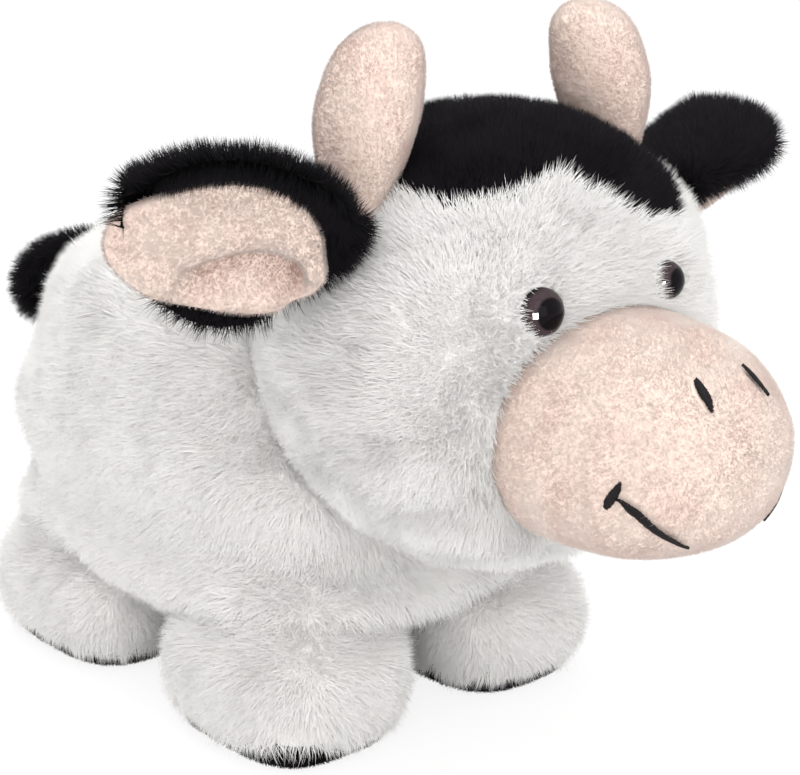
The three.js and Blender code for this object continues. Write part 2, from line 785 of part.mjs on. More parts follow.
const earRooms = sides.map((side) => {
  const axes = earAxes(side);
  const root = earBackForm(axes, earRoomClearance, roomSides, earSections().slice(0, 4));
  return onSide(roomOf(root, earHinge, axes.up, -earSwingDegrees, earSwingDegrees, 2), side.sign);
});
const hornRoom = hornForm(clearance);
const hornRooms = [hornRoom, mirrored(hornRoom)];
const faceRooms = sides.flatMap(({ sign }) => [eyeForm(sign, clearance), eyeSocket(sign)]);
const washerRooms = sides.map(({ sign }) => washerForm(sign, clearance));
const muzzleThroat = muzzleForm(-shortPile, muzzleRootDepth);

const headShell = headForm(0).subtract(headForm(-inner, innerSides));
const headCuts = [...earRooms, ...hornRooms, ...faceRooms, muzzleThroat, neckHole];
add('head_cover', cutBy(headShell, [...headCuts, crownRoom(clearance)]), white);
add('crown_patch', cutBy(headShell.intersect(crownRoom(0)), [...earRooms, ...hornRooms]), black);

const muzzleFill = muzzleForm(-shortPile - clearance, muzzleRootDepth);
const headFill = headForm(-innerFit, innerSides).add(muzzleFill).add(neckPlug);
add('head_stuffing', cutBy(headFill, [...earRooms, ...hornRooms, ...faceRooms, ...washerRooms]), fill);

const muzzleShell = muzzleForm(0, muzzleRootDepth).subtract(muzzleThroat);
add('muzzle_cover', muzzleShell.subtract(headForm(clearance)), pink);

const hornHollow = hornForm(-shortPile);
const hornShell = hornForm(0).subtract(hornHollow).subtract(hornHollow.translate([0, 0, -cutOverrun]));
for (const side of sides) {
  const { name, sign } = side;
  const axes = earAxes(side);
  const earSeat = earBackForm(axes, clearance, smallSides, earSections());
  add(`ear_back_${name}`, onSide(earBackForm(axes, 0, smallSides, earSections()), sign), black);
  add(`ear_lining_${name}`, onSide(earLiningForm(axes).subtract(earSeat), sign), pink);
  add(`horn_cover_${name}`, onSide(hornShell, sign), pink);
  add(`horn_stuffing_${name}`, onSide(hornForm(-shortPile - clearance), sign), fill);
  add(`eye_${name}`, eyeForm(sign, 0), glossBlack);
  add(`eye_washer_${name}`, washerForm(sign, 0), clearPlastic);
  add(`nostril_stitch_${name}`, stitchForm(nostrilPathShares, sign), thread);
  const mouth = stitchForm(mouthPathShares, sign).add(stitchForm(mouthEndPathShares, sign));
  add(`mouth_stitch_${name}`, mouth, thread);
}

add('tail', tailForm(), black);

for (const place of legPlaces()) {
  const outer = legForm(place, 0, legCoverLift);
  const hollow = legForm(place, -inner, soleThickness + clearance);
  const cover = outer.subtract(hollow).subtract(legMouth(place)).subtract(soleForm(place, clearance));
  add(`leg_cover_${place.name}`, cover, white);
  const filling = legForm(place, -innerFit, soleThickness + 2 * clearance);
  add(`leg_stuffing_${place.name}`, filling, fill);
  add(`sole_${place.name}`, soleForm(place, 0), black);
}

// The origin is below the middle of the whole cow
const middle = new THREE.Box3().setFromObject(cow).getCenter(vector());
cow.position.y = -middle.y;

export default cow;
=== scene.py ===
import math

import bpy
import numpy as np
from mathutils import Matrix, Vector
from mathutils.bvhtree import BVHTree
from mathutils.kdtree import KDTree


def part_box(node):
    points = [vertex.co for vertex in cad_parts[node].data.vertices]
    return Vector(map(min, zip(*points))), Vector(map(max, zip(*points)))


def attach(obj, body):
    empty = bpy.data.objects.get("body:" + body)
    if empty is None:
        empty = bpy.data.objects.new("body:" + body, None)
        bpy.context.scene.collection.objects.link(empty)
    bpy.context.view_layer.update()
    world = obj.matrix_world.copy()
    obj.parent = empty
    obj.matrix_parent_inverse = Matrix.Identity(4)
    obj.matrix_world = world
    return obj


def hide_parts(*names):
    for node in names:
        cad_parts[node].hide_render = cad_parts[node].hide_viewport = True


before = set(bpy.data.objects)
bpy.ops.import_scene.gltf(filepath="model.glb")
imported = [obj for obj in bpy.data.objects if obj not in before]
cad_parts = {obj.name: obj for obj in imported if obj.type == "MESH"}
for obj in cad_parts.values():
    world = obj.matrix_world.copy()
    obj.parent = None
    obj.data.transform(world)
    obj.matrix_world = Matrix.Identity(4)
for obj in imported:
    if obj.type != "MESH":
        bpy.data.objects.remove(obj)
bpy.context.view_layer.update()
scene = bpy.context.scene

# Lengths are millimetres in the part's own source frame: the cow looks along -Y, its left is +X
MM = 0.001
SOLE_Y = -28.0
sole_low, sole_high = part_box("sole_front_right")
SHIFT_Y = (sole_low.y + sole_high.y) / 2 / MM - SOLE_Y

# Body, with its belly inside its lowest ring
BODY_LENGTH, BODY_WIDTH, BODY_HEIGHT = 159.0, 119.0, 99.0
BODY_GAP, BODY_Y = 27.0, 18.5
BODY_RISE = [0, 0.05, 0.1, 0.17, 0.25, 0.33, 0.41, 0.49, 0.58, 0.68, 0.78, 0.87, 0.95, 0.988]
BODY_WIDE = [0.965, 0.965, 0.935, 0.91, 0.915, 0.955, 0.98, 0.97, 0.935, 0.91, 0.87, 0.77, 0.56, 0.3]
BODY_LONG = [0.98, 0.98, 0.965, 0.955, 0.955, 0.975, 0.985, 0.975, 0.96, 0.95, 0.92, 0.83, 0.66, 0.4]
BODY_POWER = [4.6, 4.4, 3.8, 3.2, 3, 3.1, 3.2, 2.9, 2.6, 2.5, 2.4, 2.3, 2.2, 2.1]
BODY_TAPER = [0.07] * 5 + [0.06, 0.05, 0.05] + [0.06] * 6
BODY_CROWDING = 1.05
BELLY_SHARE, BELLY_DROP = (0.25, 0.5, 0.72, 0.88, 0.965), (1.6, 1.5, 1.2, 0.8, 0.4)

# Head and muzzle
HEAD_RADIUS, FACE_REACH, FACE_POWER, FACE_CROWDING = 59.0, 45.0, 3.0, 1.3
HEAD = np.array([0.0, -70.0, 112.0])
MUZZLE_WIDTH, MUZZLE_HEIGHT, MUZZLE_LENGTH = 68.0, 57.0, 46.0
MUZZLE_Y, MUZZLE_Z, MUZZLE_DROP = -111.0, 98.0, 1.0
MUZZLE_POWER, NOSE_POWER, MUZZLE_BACK = 2.3, 2.4, (9, 6, 3)
CROWN_ACROSS = [-0.68, -0.53, -0.32, -0.12, 0.04, 0.25, 0.5, 0.63, 0.68]
CROWN_ABOVE = [0.74, 0.71, 0.75, 0.81, 0.7, 0.58, 0.53, 0.62, 0.74]
CROWN_SIDE, CROWN_LOWER, CROWN_LIFT, CROWN_CLOTH = 0.7, 0.04, 0.35, 0.7

# Horns
HORN_HEIGHT, HORN_RADIUS, HORN_LEAN, HORN_LEAST = 47.0, 12.8, 9.0, 0.3
HORN_ROOT = np.array([41.5, -69.5, 144.0])
HORN_RISE = [0, 0.2, 0.4, 0.58, 0.76, 0.89, 0.97]
HORN_SHARE = [0.6, 0.7, 0.9, 1, 0.94, 0.81, 0.54]

# Ears: a pose is lean, tilt and sweep in degrees, a size is length, height, thickness and cup
EAR_HINGE = {"right": np.array([54.0, -81.0, 144.7]), "left": np.array([56.5, -82.2, 142.2])}
EAR_ALONG = [0, 0.08, 0.2, 0.34, 0.5, 0.66, 0.8, 0.91, 0.975]
EAR_SHARE = [0.42, 0.53, 0.77, 0.94, 1, 0.95, 0.81, 0.59, 0.33]
EAR_ROOT_TURNS, EAR_TIP, EAR_CORE = (0.85, 0.6, 0.3), 0.985, 0.6
EAR_POSE = {"right": (20, 41, 21), "left": (15, 77, 37)}
EAR_SIZE = {"right": (57.0, 58.0, 11.0, 14.0), "left": (58.0, 49.5, 15.5, 8.5)}

# Ear linings, in shares of the ear's length along it and of its half height across it
LINING_ALONG = [0.08, 0.11, 0.18, 0.33, 0.45, 0.56, 0.66, 0.74, 0.82, 0.9, 0.94]
LINING_TOP = [-0.25, -0.05, 0.3, 0.55, 0.6, 0.56, 0.47, 0.34, 0.14, -0.16, -0.5]
LINING_LOW = [-0.62, -0.74, -0.78, -0.72, -0.71, -0.75, -0.78, -0.8, -0.82, -0.84, -0.8]
CREASE_ALONG = [0.14, 0.18, 0.24, 0.34, 0.45, 0.53, 0.6]
CREASE_HIGH = [-0.32, -0.14, -0.03, 0.0, -0.1, -0.23, -0.37]
LINING_GAP, LINING_BACK, LINING_BACK_SHARE = 0.35, 4.5, 0.85
FOLD_PUFF, FOLD_ABOVE, FOLD_WIDTH, FOLD_END, FOLD_EASE = 1.8, 0.16, 0.2, 0.8, 0.4
POCKET_DEPTH, POCKET_LIP, POCKET_FLOOR, POCKET_RISE = 5.2, 0.045, 0.1, 0.5
POCKET_START, POCKET_START_EASE, POCKET_END, POCKET_END_EASE = 0.1, 0.05, 0.64, 0.12

# Eyes
EYE_DOME, EYE_SPREAD, EYE_RISE = 4.8, 21.9, 17.2
EYE_RADIUS = {"right": 5.75, "left": 4.9}
EYE_SINK = {"right": 4.1, "left": 5.0}
EYE_SHANK, EYE_NEAR = 3.0, 14.0
FRINGE_HAIRS, FRINGE_SPREAD, FRINGE_REACH = 110, 0.75, (0.2, 1.6)
FRINGE_SINK, FRINGE_LIFT, FRINGE_LOOSE = 0.3, 0.35, 0.35
FRINGE_SIDE = {"right": math.radians(215), "left": math.radians(325)}

# Tail
TAIL_REACH, TAIL_DROOP, TAIL_RADIUS, TAIL_Z = 32.0, 16.5, 6.6, 105.21
TAIL_ASIDE, TAIL_ARC, TAIL_ROOT, TAIL_LEAST = math.radians(30), math.radians(104), 0.8, 0.5
TAIL_SPAN, TAIL_SINK, TAIL_ROOT_CAP, TAIL_TIP_CAP, TAIL_CAP_LEAST = (-0.12, 1.06), 40, 0.13, 0.07, 0.05

# Legs
LEG_WIDTH, LEG_LENGTH, HIP_Z, LEG_LIFT, LEG_INSET = 56.0, 68.5, 34.0, 2.2, 3.0
LEG_X, FRONT_Y, REAR_Y, LEG_POWER = 33.5, -28.0, 54.0, 3.2
LEG_RISE = [0, 0.13, 0.36, 0.6, 0.74, 0.86, 1]
LEG_WIDE = [0.87, 0.955, 1, 1, 0.97, 0.88, 0.765]
LEG_LONG = [0.89, 0.96, 1, 0.995, 0.96, 0.87, 0.765]
LEG_UNDER, LEG_FOOT, FOOT_ROUND, FOOT_ROUND_RISE, HIP_DOME = 2, (0.35, 0.65, 0.85), 0.06, 0.12, 0.5
SOLE_THICK, SOLE_INSET = 5.0, 2.4
SOLE_PROFILE = ((0, 0.5), (0, 0.8), (0.08, 0.93), (0.3, 0.985), (0.62, 1), (0.9, 0.98), (1, 0.9), (1, 0.5))

# Short pile as thick as the solids hold it, and how the hairs stand
SHORT_PILE = 2.6
FLOW_SIZE, FINE_FLOW_SIZE, FINE_FLOW, FLOW_LEAST = 20, 8, 0.6, 0.35
REACH_SIZE, REACH_WAVE, REACH_LEAST, REACH_MOST = 9, 0.07, 0.5, 1.4
HAIR_SIDES, HAIR_SINK, HAIR_EVEN, HAIR_TONE = 3, 0.4, (0.75, 1.25), 0.6
MAP_LOW, MAP_HIGH, MAP_STEP, MAP_SPAN = 0.02, 0.98, 0.01, 0.94
SIDES = (("right", -1), ("left", 1))
X, Y, Z = np.eye(3)
QUARTER = math.pi / 2


def rows(*values):
    return np.stack(np.broadcast_arrays(*values), axis=-1).astype(float)


def long_of(v):
    return np.linalg.norm(v, axis=1)


def unit(v):
    return v / np.maximum(np.linalg.norm(v, axis=-1, keepdims=True), 1e-12)


def smooth(xs, ys, x):
    """A monotone cubic curve through the points."""
    xs, ys, x = (np.asarray(v, float) for v in (xs, ys, x))
    d = np.diff(ys) / np.diff(xs)
    between = np.where(d[1:] * d[:-1] > 0, 2 * d[1:] * d[:-1] / (d[1:] + d[:-1] + 1e-12), 0)
    m = np.concatenate([[d[0]], between, [d[-1]]])
    i = np.clip(np.searchsorted(xs, x, side="right") - 1, 0, len(d) - 1)
    h = xs[i + 1] - xs[i]
    t = np.clip((x - xs[i]) / h, 0, 1)
    a, b = 2 * t**3 - 3 * t**2 + 1, t**3 - 2 * t**2 + t
    c, e = -2 * t**3 + 3 * t**2, t**3 - t**2
    return a * ys[i] + b * h * m[i] + c * ys[i + 1] + e * h * m[i + 1]


def rounded(v, power):
    return np.sign(v) * np.abs(v) ** (2 / power)


def waves(points, size, seed, count=9):
    """Smooth seeded noise from about -1 to 1 with features of that size."""
    rng = np.random.default_rng(seed)
    k = unit(rng.normal(size=(count, 3))) * rng.uniform(0.6, 1.5, (count, 1)) * 2 * math.pi / size
    phase = rng.uniform(0, 2 * math.pi, count)
    return np.sin(points @ k.T + phase).sum(-1) / math.sqrt(count)


def loft(rings, first, last):
    """Vertices and faces of a closed skin through rings of points."""
    rings = np.asarray(rings)
    n, m = rings.shape[:2]
    verts = np.vstack([[first], rings.reshape(-1, 3), [last]])
    faces = []
    for k in range(m):
        j = (k + 1) % m
        faces.append((0, 1 + j, 1 + k))
        for r in range(n - 1):
            a, b = 1 + r * m, 1 + (r + 1) * m
            faces.append((a + k, a + j, b + j, b + k))
        e = 1 + (n - 1) * m
        faces.append((len(verts) - 1, e + k, e + j))
    return verts, faces


def to_row(points):
    return (np.asarray(points) + (0, SHIFT_Y, 0)) * MM


def numbers(items, key, width=3, kind=float):
    """One attribute of a mesh's items as rows."""
    flat = np.empty(len(items) * width, kind)
    items.foreach_get(key, flat)
    return flat.reshape(-1, width)


def placed(name, data):
    ob = bpy.data.objects.new(name, data)
    scene.collection.objects.link(ob)
    return ob


def piece(ob, body, slot, *nodes):
    """Says which body a visible piece rides and hides the solids that it stands for. The slot is not used.
    """
    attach(ob, body)
    if nodes:
        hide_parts(*nodes)


def mesh_object(name, verts, faces, mat):
    me = bpy.data.meshes.new(name)
    me.from_pydata(to_row(verts).tolist(), [], faces)
    me.validate()
    me.calc_loop_triangles()
    co, tri = numbers(me.vertices, "co"), numbers(me.loop_triangles, "vertices", 3, int)
    a, b, c = co[tri].transpose(1, 0, 2)
    if (a * np.cross(b, c)).sum() < 0:
        me.flip_normals()
    me.shade_smooth()
    me.materials.append(mat)
    return placed(name, me)


class Skin:
    """A finished skin mesh as arrays in millimetres, with a search for depth."""

    def __init__(self, ob):
        me = ob.data
        me.calc_loop_triangles()
        self.co = numbers(me.vertices, "co") / MM - (0, SHIFT_Y, 0)
        self.tri = numbers(me.loop_triangles, "vertices", 3, int)
        self.no = numbers(me.vertex_normals, "vector")
        self.bvh = BVHTree.FromPolygons(self.co.tolist(), self.tri.tolist())
        self.low, self.high = self.co.min(0), self.co.max(0)

    def near(self, points, reach):
        return np.nonzero(np.all((points > self.low - reach) & (points < self.high + reach), axis=1))[0]

    def depth(self, points, reach):
        """How deep each point is inside, negative outside, -reach if far outside."""
        out = np.full(len(points), -reach)
        for i in self.near(points, reach):
            place, normal, _, gap = self.bvh.find_nearest(points[i])
            if place is not None:
                sign = (place - Vector(points[i])).dot(normal)
                out[i] = math.copysign(gap, sign)
        return np.maximum(out, -reach)

    def push(self, points, gap):
        """Moves points that are inside, or nearer than gap outside, out to gap."""
        out = points.copy()
        for i in self.near(points, gap):
            place, normal, _, _ = self.bvh.find_nearest(points[i])
            if (Vector(points[i]) - place).dot(normal) < gap:
                out[i] = place + normal * gap
        return out

    def areas(self):
        a, b, c = self.co[self.tri].transpose(1, 0, 2)
        return long_of(np.cross(b - a, c - a)) / 2

    def scatter(self, count, seed, mask=None):
        """Seeded points spread evenly over the skin, with their normals."""
        rng = np.random.default_rng(seed)
        area = self.areas()
        pick = np.searchsorted(np.cumsum(area) / area.sum(), rng.random(count))
        pick = np.minimum(pick, len(area) - 1)
        u, v = rng.random(count), rng.random(count)
        over = u + v > 1
        u[over], v[over] = 1 - u[over], 1 - v[over]
        weights = rows(1 - u - v, u, v)[..., None]
        places = (weights * self.co[self.tri[pick]]).sum(1)
        normals = unit((weights * self.no[self.tri[pick]]).sum(1))
        if mask is not None:
            ok = mask(places, normals)
            places, normals = places[ok], normals[ok]
        return places, normals


# Materials
KNOB_SIZE, KNOB_HEIGHT, KNOB_RELIEF = 0.7, 0.5, 0.3


def material(name, roughness=0.9, specular=0.5, colour=(0.8, 0.8, 0.8)):
    mat = bpy.data.materials.new(name)
    mat.use_nodes = True
    shader = mat.node_tree.nodes["Principled BSDF"]
    shader.inputs["Roughness"].default_value = roughness
    shader.inputs["Specular IOR Level"].default_value = specular
    shader.inputs["Base Color"].default_value = (*colour, 1)
    return mat, mat.node_tree, shader


def node(tree, kind, inputs=(), **settings):
    made = tree.nodes.new(kind)
    for key, value in settings.items():
        setattr(made, key, value)
    for key, value in dict(inputs).items():
        made.inputs[key].default_value = value
    return made


def link(source, target):
    target.id_data.links.new(source, target)


def ramp(tree, source, stops):
    made = node(tree, "ShaderNodeValToRGB")
    elements = made.color_ramp.elements
    while len(elements) < len(stops):
        elements.new(0.5)
    for element, (place, colour) in zip(elements, stops):
        element.position = place
        element.color = (*colour, 1)
    link(source, made.inputs["Fac"])
    return made.outputs["Color"]


def cloth_material(name, dark, light, size, specular=0.5):
    """Backing of a plush: a mottled colour over a fine knobbly relief."""
    mat, tree, shader = material(name, specular=specular)
    place = node(tree, "ShaderNodeTexCoord").outputs["Object"]
    broad = node(tree, "ShaderNodeTexNoise", {"Scale": 1 / (size * MM), "Detail": 4})
    link(place, broad.inputs["Vector"])
    colour = ramp(tree, broad.outputs["Fac"], [(0.3, dark), (0.7, light)])
    link(colour, shader.inputs["Base Color"])
    fine = node(tree, "ShaderNodeTexNoise", {"Scale": 1 / (KNOB_SIZE * MM)})
    link(place, fine.inputs["Vector"])
    knobs = node(tree, "ShaderNodeBump", {"Strength": KNOB_RELIEF, "Distance": KNOB_HEIGHT * MM})
    link(fine.outputs["Fac"], knobs.inputs["Height"])
    link(knobs.outputs["Normal"], shader.inputs["Normal"])
    return mat


def pile_material(name, root, tip, dark, specular, roughness=0.85):
    """Standing hair: the map runs up from root to tip, and across from the dark tone to the light one."""
    mat, tree, shader = material(name, roughness, specular)
    uv = node(tree, "ShaderNodeUVMap", uv_map="OFBake").outputs["UV"]
    parts = node(tree, "ShaderNodeSeparateXYZ")
    link(uv, parts.inputs["Vector"])
    along = ramp(tree, parts.outputs["Y"], [(0.0, root), (0.75, tip)])
    tone = ramp(tree, parts.outputs["X"], [(0.05, dark), (0.95, (1, 1, 1))])
    mix = node(tree, "ShaderNodeMix", {"Factor": 1}, data_type="RGBA", blend_type="MULTIPLY")
    link(along, mix.inputs["A"])
    link(tone, mix.inputs["B"])
    link(mix.outputs["Result"], shader.inputs["Base Color"])
    return mat


WHITE_SKIN = cloth_material("white_backing", dark=(0.93, 0.92, 0.9), light=(0.96, 0.95, 0.935), size=14)
BLACK_SKIN = cloth_material("black_backing", (0.002, 0.002, 0.002), (0.004, 0.003, 0.004), 9, specular=0.05)
PINK_SKIN = cloth_material("pink_backing", dark=(0.68, 0.54, 0.47), light=(0.71, 0.58, 0.51), size=16)
# The white pile's roots are darker than its tips: painted shade deep in the pile. The black pile's tips are
# lighter than its roots: painted sheen. The pink pile is darker towards its roots.
WHITE_PILE = pile_material(
    "white_pile", (0.965, 0.943, 0.918), (0.987, 0.974, 0.955), dark=(0.97, 0.965, 0.96), specular=0.03,
)
BLACK_PILE = pile_material(
    "black_pile", (0.001, 0.001, 0.001), (0.014, 0.012, 0.015), dark=(0.6, 0.6, 0.62), specular=0.06,
    roughness=0.5,
)
PINK_PILE = pile_material(
    "pink_pile", (0.7, 0.56, 0.5), (0.755, 0.675, 0.62), dark=(0.72, 0.5, 0.46), specular=0.04,
)

# Shapes
def around(count):
    return np.arange(count) / count * 2 * math.pi


def ring(centre, across, up, power, count):
    angle = around(count)
    a = rounded(np.cos(angle), power)[:, None] * across
    return centre + a + rounded(np.sin(angle), power)[:, None] * up


def level_ring(centre, wide, long, power, count):
    return ring(np.array(centre), X * wide, Y * long, power, count)


def body_shape(grow, count=120, steps=54):
    """The barrel of the body, with a softly rounded belly."""
    rings = []
    for t in np.linspace(0, 1, steps):
        rise = BODY_RISE[-1] * t**BODY_CROWDING
        wide = smooth(BODY_RISE, BODY_WIDE, rise) * BODY_WIDTH / 2 + grow
        long = smooth(BODY_RISE, BODY_LONG, rise) * BODY_LENGTH / 2 + grow
        power = smooth(BODY_RISE, BODY_POWER, rise)
        z = BODY_GAP - grow + rise * (BODY_HEIGHT + 2 * grow)
        points = level_ring((0, BODY_Y, z), wide, long, power, count)
        back = np.maximum(0, points[:, 1] - BODY_Y) / long
        points[:, 0] *= 1 - smooth(BODY_RISE, BODY_TAPER, rise) * back**2
        rings.append(points)
    middle = np.array([0, BODY_Y, 0])
    belly = [middle + (rings[0] - middle) * (share, share, 1) for share in BELLY_SHARE]
    for points, drop in zip(belly, BELLY_DROP):
        points[:, 2] = rings[0][:, 2] - drop
    top = BODY_GAP + BODY_HEIGHT + grow
    return loft(belly + rings, (0, BODY_Y, belly[0][0, 2]), (0, BODY_Y, top))


def head_shape(grow, count=120, back_steps=34, front_steps=40):
    radius, reach = HEAD_RADIUS + grow, FACE_REACH + grow
    quarter = np.arange(1, back_steps) / back_steps * QUARTER
    back = [(radius * math.sin(a), radius * math.cos(a)) for a in quarter]
    front = [
        (radius * rounded(math.sin(a), FACE_POWER), -reach * rounded(math.cos(a), FACE_POWER))
        for a in np.linspace(1, 0, front_steps, endpoint=False) ** FACE_CROWDING * QUARTER
    ]
    rings = []
    for size, y in back + front:
        rings.append(ring(HEAD + Y * y, X * size, Z * size, 2, count))
    return loft(rings, HEAD + (0, radius, 0), HEAD - (0, reach, 0))


def face_point(across, above):
    out = np.hypot(across, above) / HEAD_RADIUS
    forward = np.maximum(0, 1 - out**FACE_POWER) ** (1 / FACE_POWER)
    return rows(across, HEAD[1] - FACE_REACH * forward, HEAD[2] + above)


def face_normal(across, above):
    step = 0.2
    here = face_point(across, above)
    aside = face_point(across + step, above) - here
    over = face_point(across, above + step) - here
    return unit(np.cross(aside, over))


def muzzle_point(along, angle, grow):
    size = np.maximum(0, 1 - along**NOSE_POWER) ** (1 / NOSE_POWER)
    across, up = size * (MUZZLE_WIDTH / 2 + grow), size * (MUZZLE_HEIGHT / 2 + grow)
    return rows(
        across * rounded(np.cos(angle), MUZZLE_POWER),
        MUZZLE_Y - along * (MUZZLE_LENGTH + grow),
        MUZZLE_Z - MUZZLE_DROP * along**2 + up * rounded(np.sin(angle), MUZZLE_POWER),
    )


def muzzle_shape(grow, count=96, steps=36):
    angle = around(count)
    rings = []
    for back in MUZZLE_BACK:
        points = muzzle_point(0.0, angle, grow)
        points[:, 1] += back
        rings.append(points)
    for t in np.linspace(0, 1, steps, endpoint=False):
        rings.append(muzzle_point(math.sin(t * QUARTER), angle, grow))
    tip = muzzle_point(1.0, 0.0, grow)
    tip[0] = 0
    return loft(rings, (0, MUZZLE_Y + MUZZLE_BACK[0], MUZZLE_Z), tip)


def horn_shape(sign, grow, count=48, steps=30):
    def place(rise):
        low = (1 - rise) * max(0, grow)
        root = HORN_ROOT + (-HORN_LEAN * rise**2, 0, rise * (HORN_HEIGHT + grow) - low)
        return root * (sign, 1, 1)

    rings = []
    for t in np.sin(np.linspace(0, 1, steps, endpoint=False) * QUARTER):
        past = max(0, t - HORN_RISE[-1]) / (1 - HORN_RISE[-1])
        share = smooth(HORN_RISE, HORN_SHARE, t) * math.sqrt(max(0, 1 - past**2))
        size = max(HORN_LEAST, share * HORN_RADIUS + grow)
        rings.append(level_ring(place(t), size, size, 2, count))
    return loft(rings, place(0), place(1))


def turn(v, axis, angle):
    c, s = math.cos(angle), math.sin(angle)
    return v * c + np.cross(axis, v) * s + axis * np.dot(axis, v) * (1 - c)


def ear_axes(side):
    lean, tilt, sweep = (math.radians(a) for a in EAR_POSE[side])
    leaning = turn(Z, -Y, lean)
    along = turn(turn(X, -Y, lean), leaning, sweep)
    up = turn(leaning, along, tilt)
    return along, up, unit(np.cross(along, up))


def ear_place(side, sign, along, high, out):
    offset = sum(np.multiply.outer(far, axis) for far, axis in zip((along, high, out), ear_axes(side)))
    return (EAR_HINGE[side] + offset) * (sign, 1, 1)


def ear_sizes(side, share):
    _, height, depth, hollow = EAR_SIZE[side]
    half = smooth(EAR_ALONG, EAR_SHARE, share) * height / 2
    cup = hollow * np.sin(np.minimum(1, share * 2) * QUARTER) * (1 - share / 2)
    thick = depth / 2 * np.sqrt(np.maximum(0, 1 - share**4))
    return half, cup, thick


def ear_shape(side, sign, grow, count=64, steps=40):
    angle = around(count)
    length, _, depth, _ = EAR_SIZE[side]
    rings = []
    half, _, thick = ear_sizes(side, 0)
    core = max(EAR_CORE, thick + grow)
    for t in EAR_ROOT_TURNS:
        turned = t * QUARTER
        along = -depth / 2 * math.sin(turned) - grow
        size = (half + grow) * math.cos(turned) ** 0.3
        out = core * math.cos(turned) * np.sin(angle)
        rings.append(ear_place(side, sign, along, size * np.cos(angle), out))
    for t in np.sin(np.linspace(0, 1, steps) * QUARTER):
        share = EAR_TIP * t
        half, cup, thick = ear_sizes(side, share)
        core = max(EAR_CORE, thick + grow)
        out = cup * np.cos(angle) ** 2 + core * np.sin(angle)
        rings.append(ear_place(side, sign, share * (length + grow), (half + grow) * np.cos(angle), out))
    first = ear_place(side, sign, -depth / 2 - grow, 0, 0)
    return loft(rings, first, ear_place(side, sign, length + grow, 0, cup / 2))


def crease(share):
    """How high the upper fold's edge lies at a share of the ear's length."""
    return smooth(CREASE_ALONG, CREASE_HIGH, np.clip(share, CREASE_ALONG[0], CREASE_ALONG[-1]))


def pocket(share, high):
    """How deep the pocket beside the lining's root lies under the upper fold, from 0 to 1."""
    edge = crease(share)
    under = np.clip((edge - high) / POCKET_LIP, 0, 1)
    rise = 1 - np.clip((edge - POCKET_FLOOR - high) / POCKET_RISE, 0, 1) ** 1.5
    end = np.clip((POCKET_END - share) / POCKET_END_EASE, 0, 1)
    start = np.clip((share - POCKET_START) / POCKET_START_EASE, 0, 1)
    return under * rise * end * start


def lining_shape(side, sign, grow, count=96, steps=44):
    """The pink lining: a puffed leaf whose upper fold overhangs a pocket beside the root."""
    angle = around(count)
    rings = []
    for share in np.linspace(LINING_ALONG[0], LINING_ALONG[-1], steps):
        half, cup, thick = ear_sizes(side, share)
        top = smooth(LINING_ALONG, LINING_TOP, share)
        bottom = smooth(LINING_ALONG, LINING_LOW, share)
        high = (top + bottom) / 2 + (top - bottom) / 2 * np.cos(angle)
        front = np.sin(angle)
        seat = cup * high**2 + thick * np.sqrt(1 - high**2)
        above = (high - crease(share) - FOLD_ABOVE) / FOLD_WIDTH
        puff = FOLD_PUFF * np.exp(-(above**2)) * np.clip((FOLD_END - share) / FOLD_EASE, 0, 1)
        lift = SHORT_PILE + grow + puff - POCKET_DEPTH * pocket(share, high)
        back = min(LINING_BACK, LINING_BACK_SHARE * thick)
        out = seat + LINING_GAP + np.where(front > 0, lift * np.abs(front) ** 0.5, front * back)
        rings.append(ear_place(side, sign, share * EAR_SIZE[side][0], half * high, out))
    rings = np.array(rings)
    return loft(rings, rings[0].mean(0), rings[-1].mean(0))


def tail_middle(share):
    angle = share * TAIL_ARC
    back = np.array([-math.sin(TAIL_ASIDE), math.cos(TAIL_ASIDE), 0])
    root = np.array([0, BODY_Y + BODY_LENGTH / 2 - TAIL_RADIUS, TAIL_Z])
    return root + back * TAIL_REACH * math.sin(angle) - Z * TAIL_DROOP * (1 - math.cos(angle))


def tail_shape(grow, count=36, steps=26):
    rings = []
    for t in np.linspace(*TAIL_SPAN, steps):
        share = min(1.0, max(0.0, t))
        on = unit(tail_middle(share + 0.1) - tail_middle(share - 0.1))
        across = unit(np.cross(on, Z))
        up = unit(np.cross(across, on))
        size = TAIL_RADIUS * (1 - (1 - TAIL_ROOT) * (1 - share) ** 2)
        beyond = 0.0
        if t < 0:
            beyond = t * TAIL_SINK
            size *= math.sqrt(max(TAIL_CAP_LEAST, 1 - (t / TAIL_ROOT_CAP) ** 2))
        if t > 1:
            past = (t - 1) / TAIL_TIP_CAP
            beyond = past * size
            size *= math.sqrt(max(TAIL_CAP_LEAST, 1 - past**2))
        centre = tail_middle(share) + on * beyond
        size = max(TAIL_LEAST, size + grow)
        rings.append(ring(centre, across * size, up * size, 2, count))
    rings = np.array(rings)
    return loft(rings, rings[0].mean(0), rings[-1].mean(0))


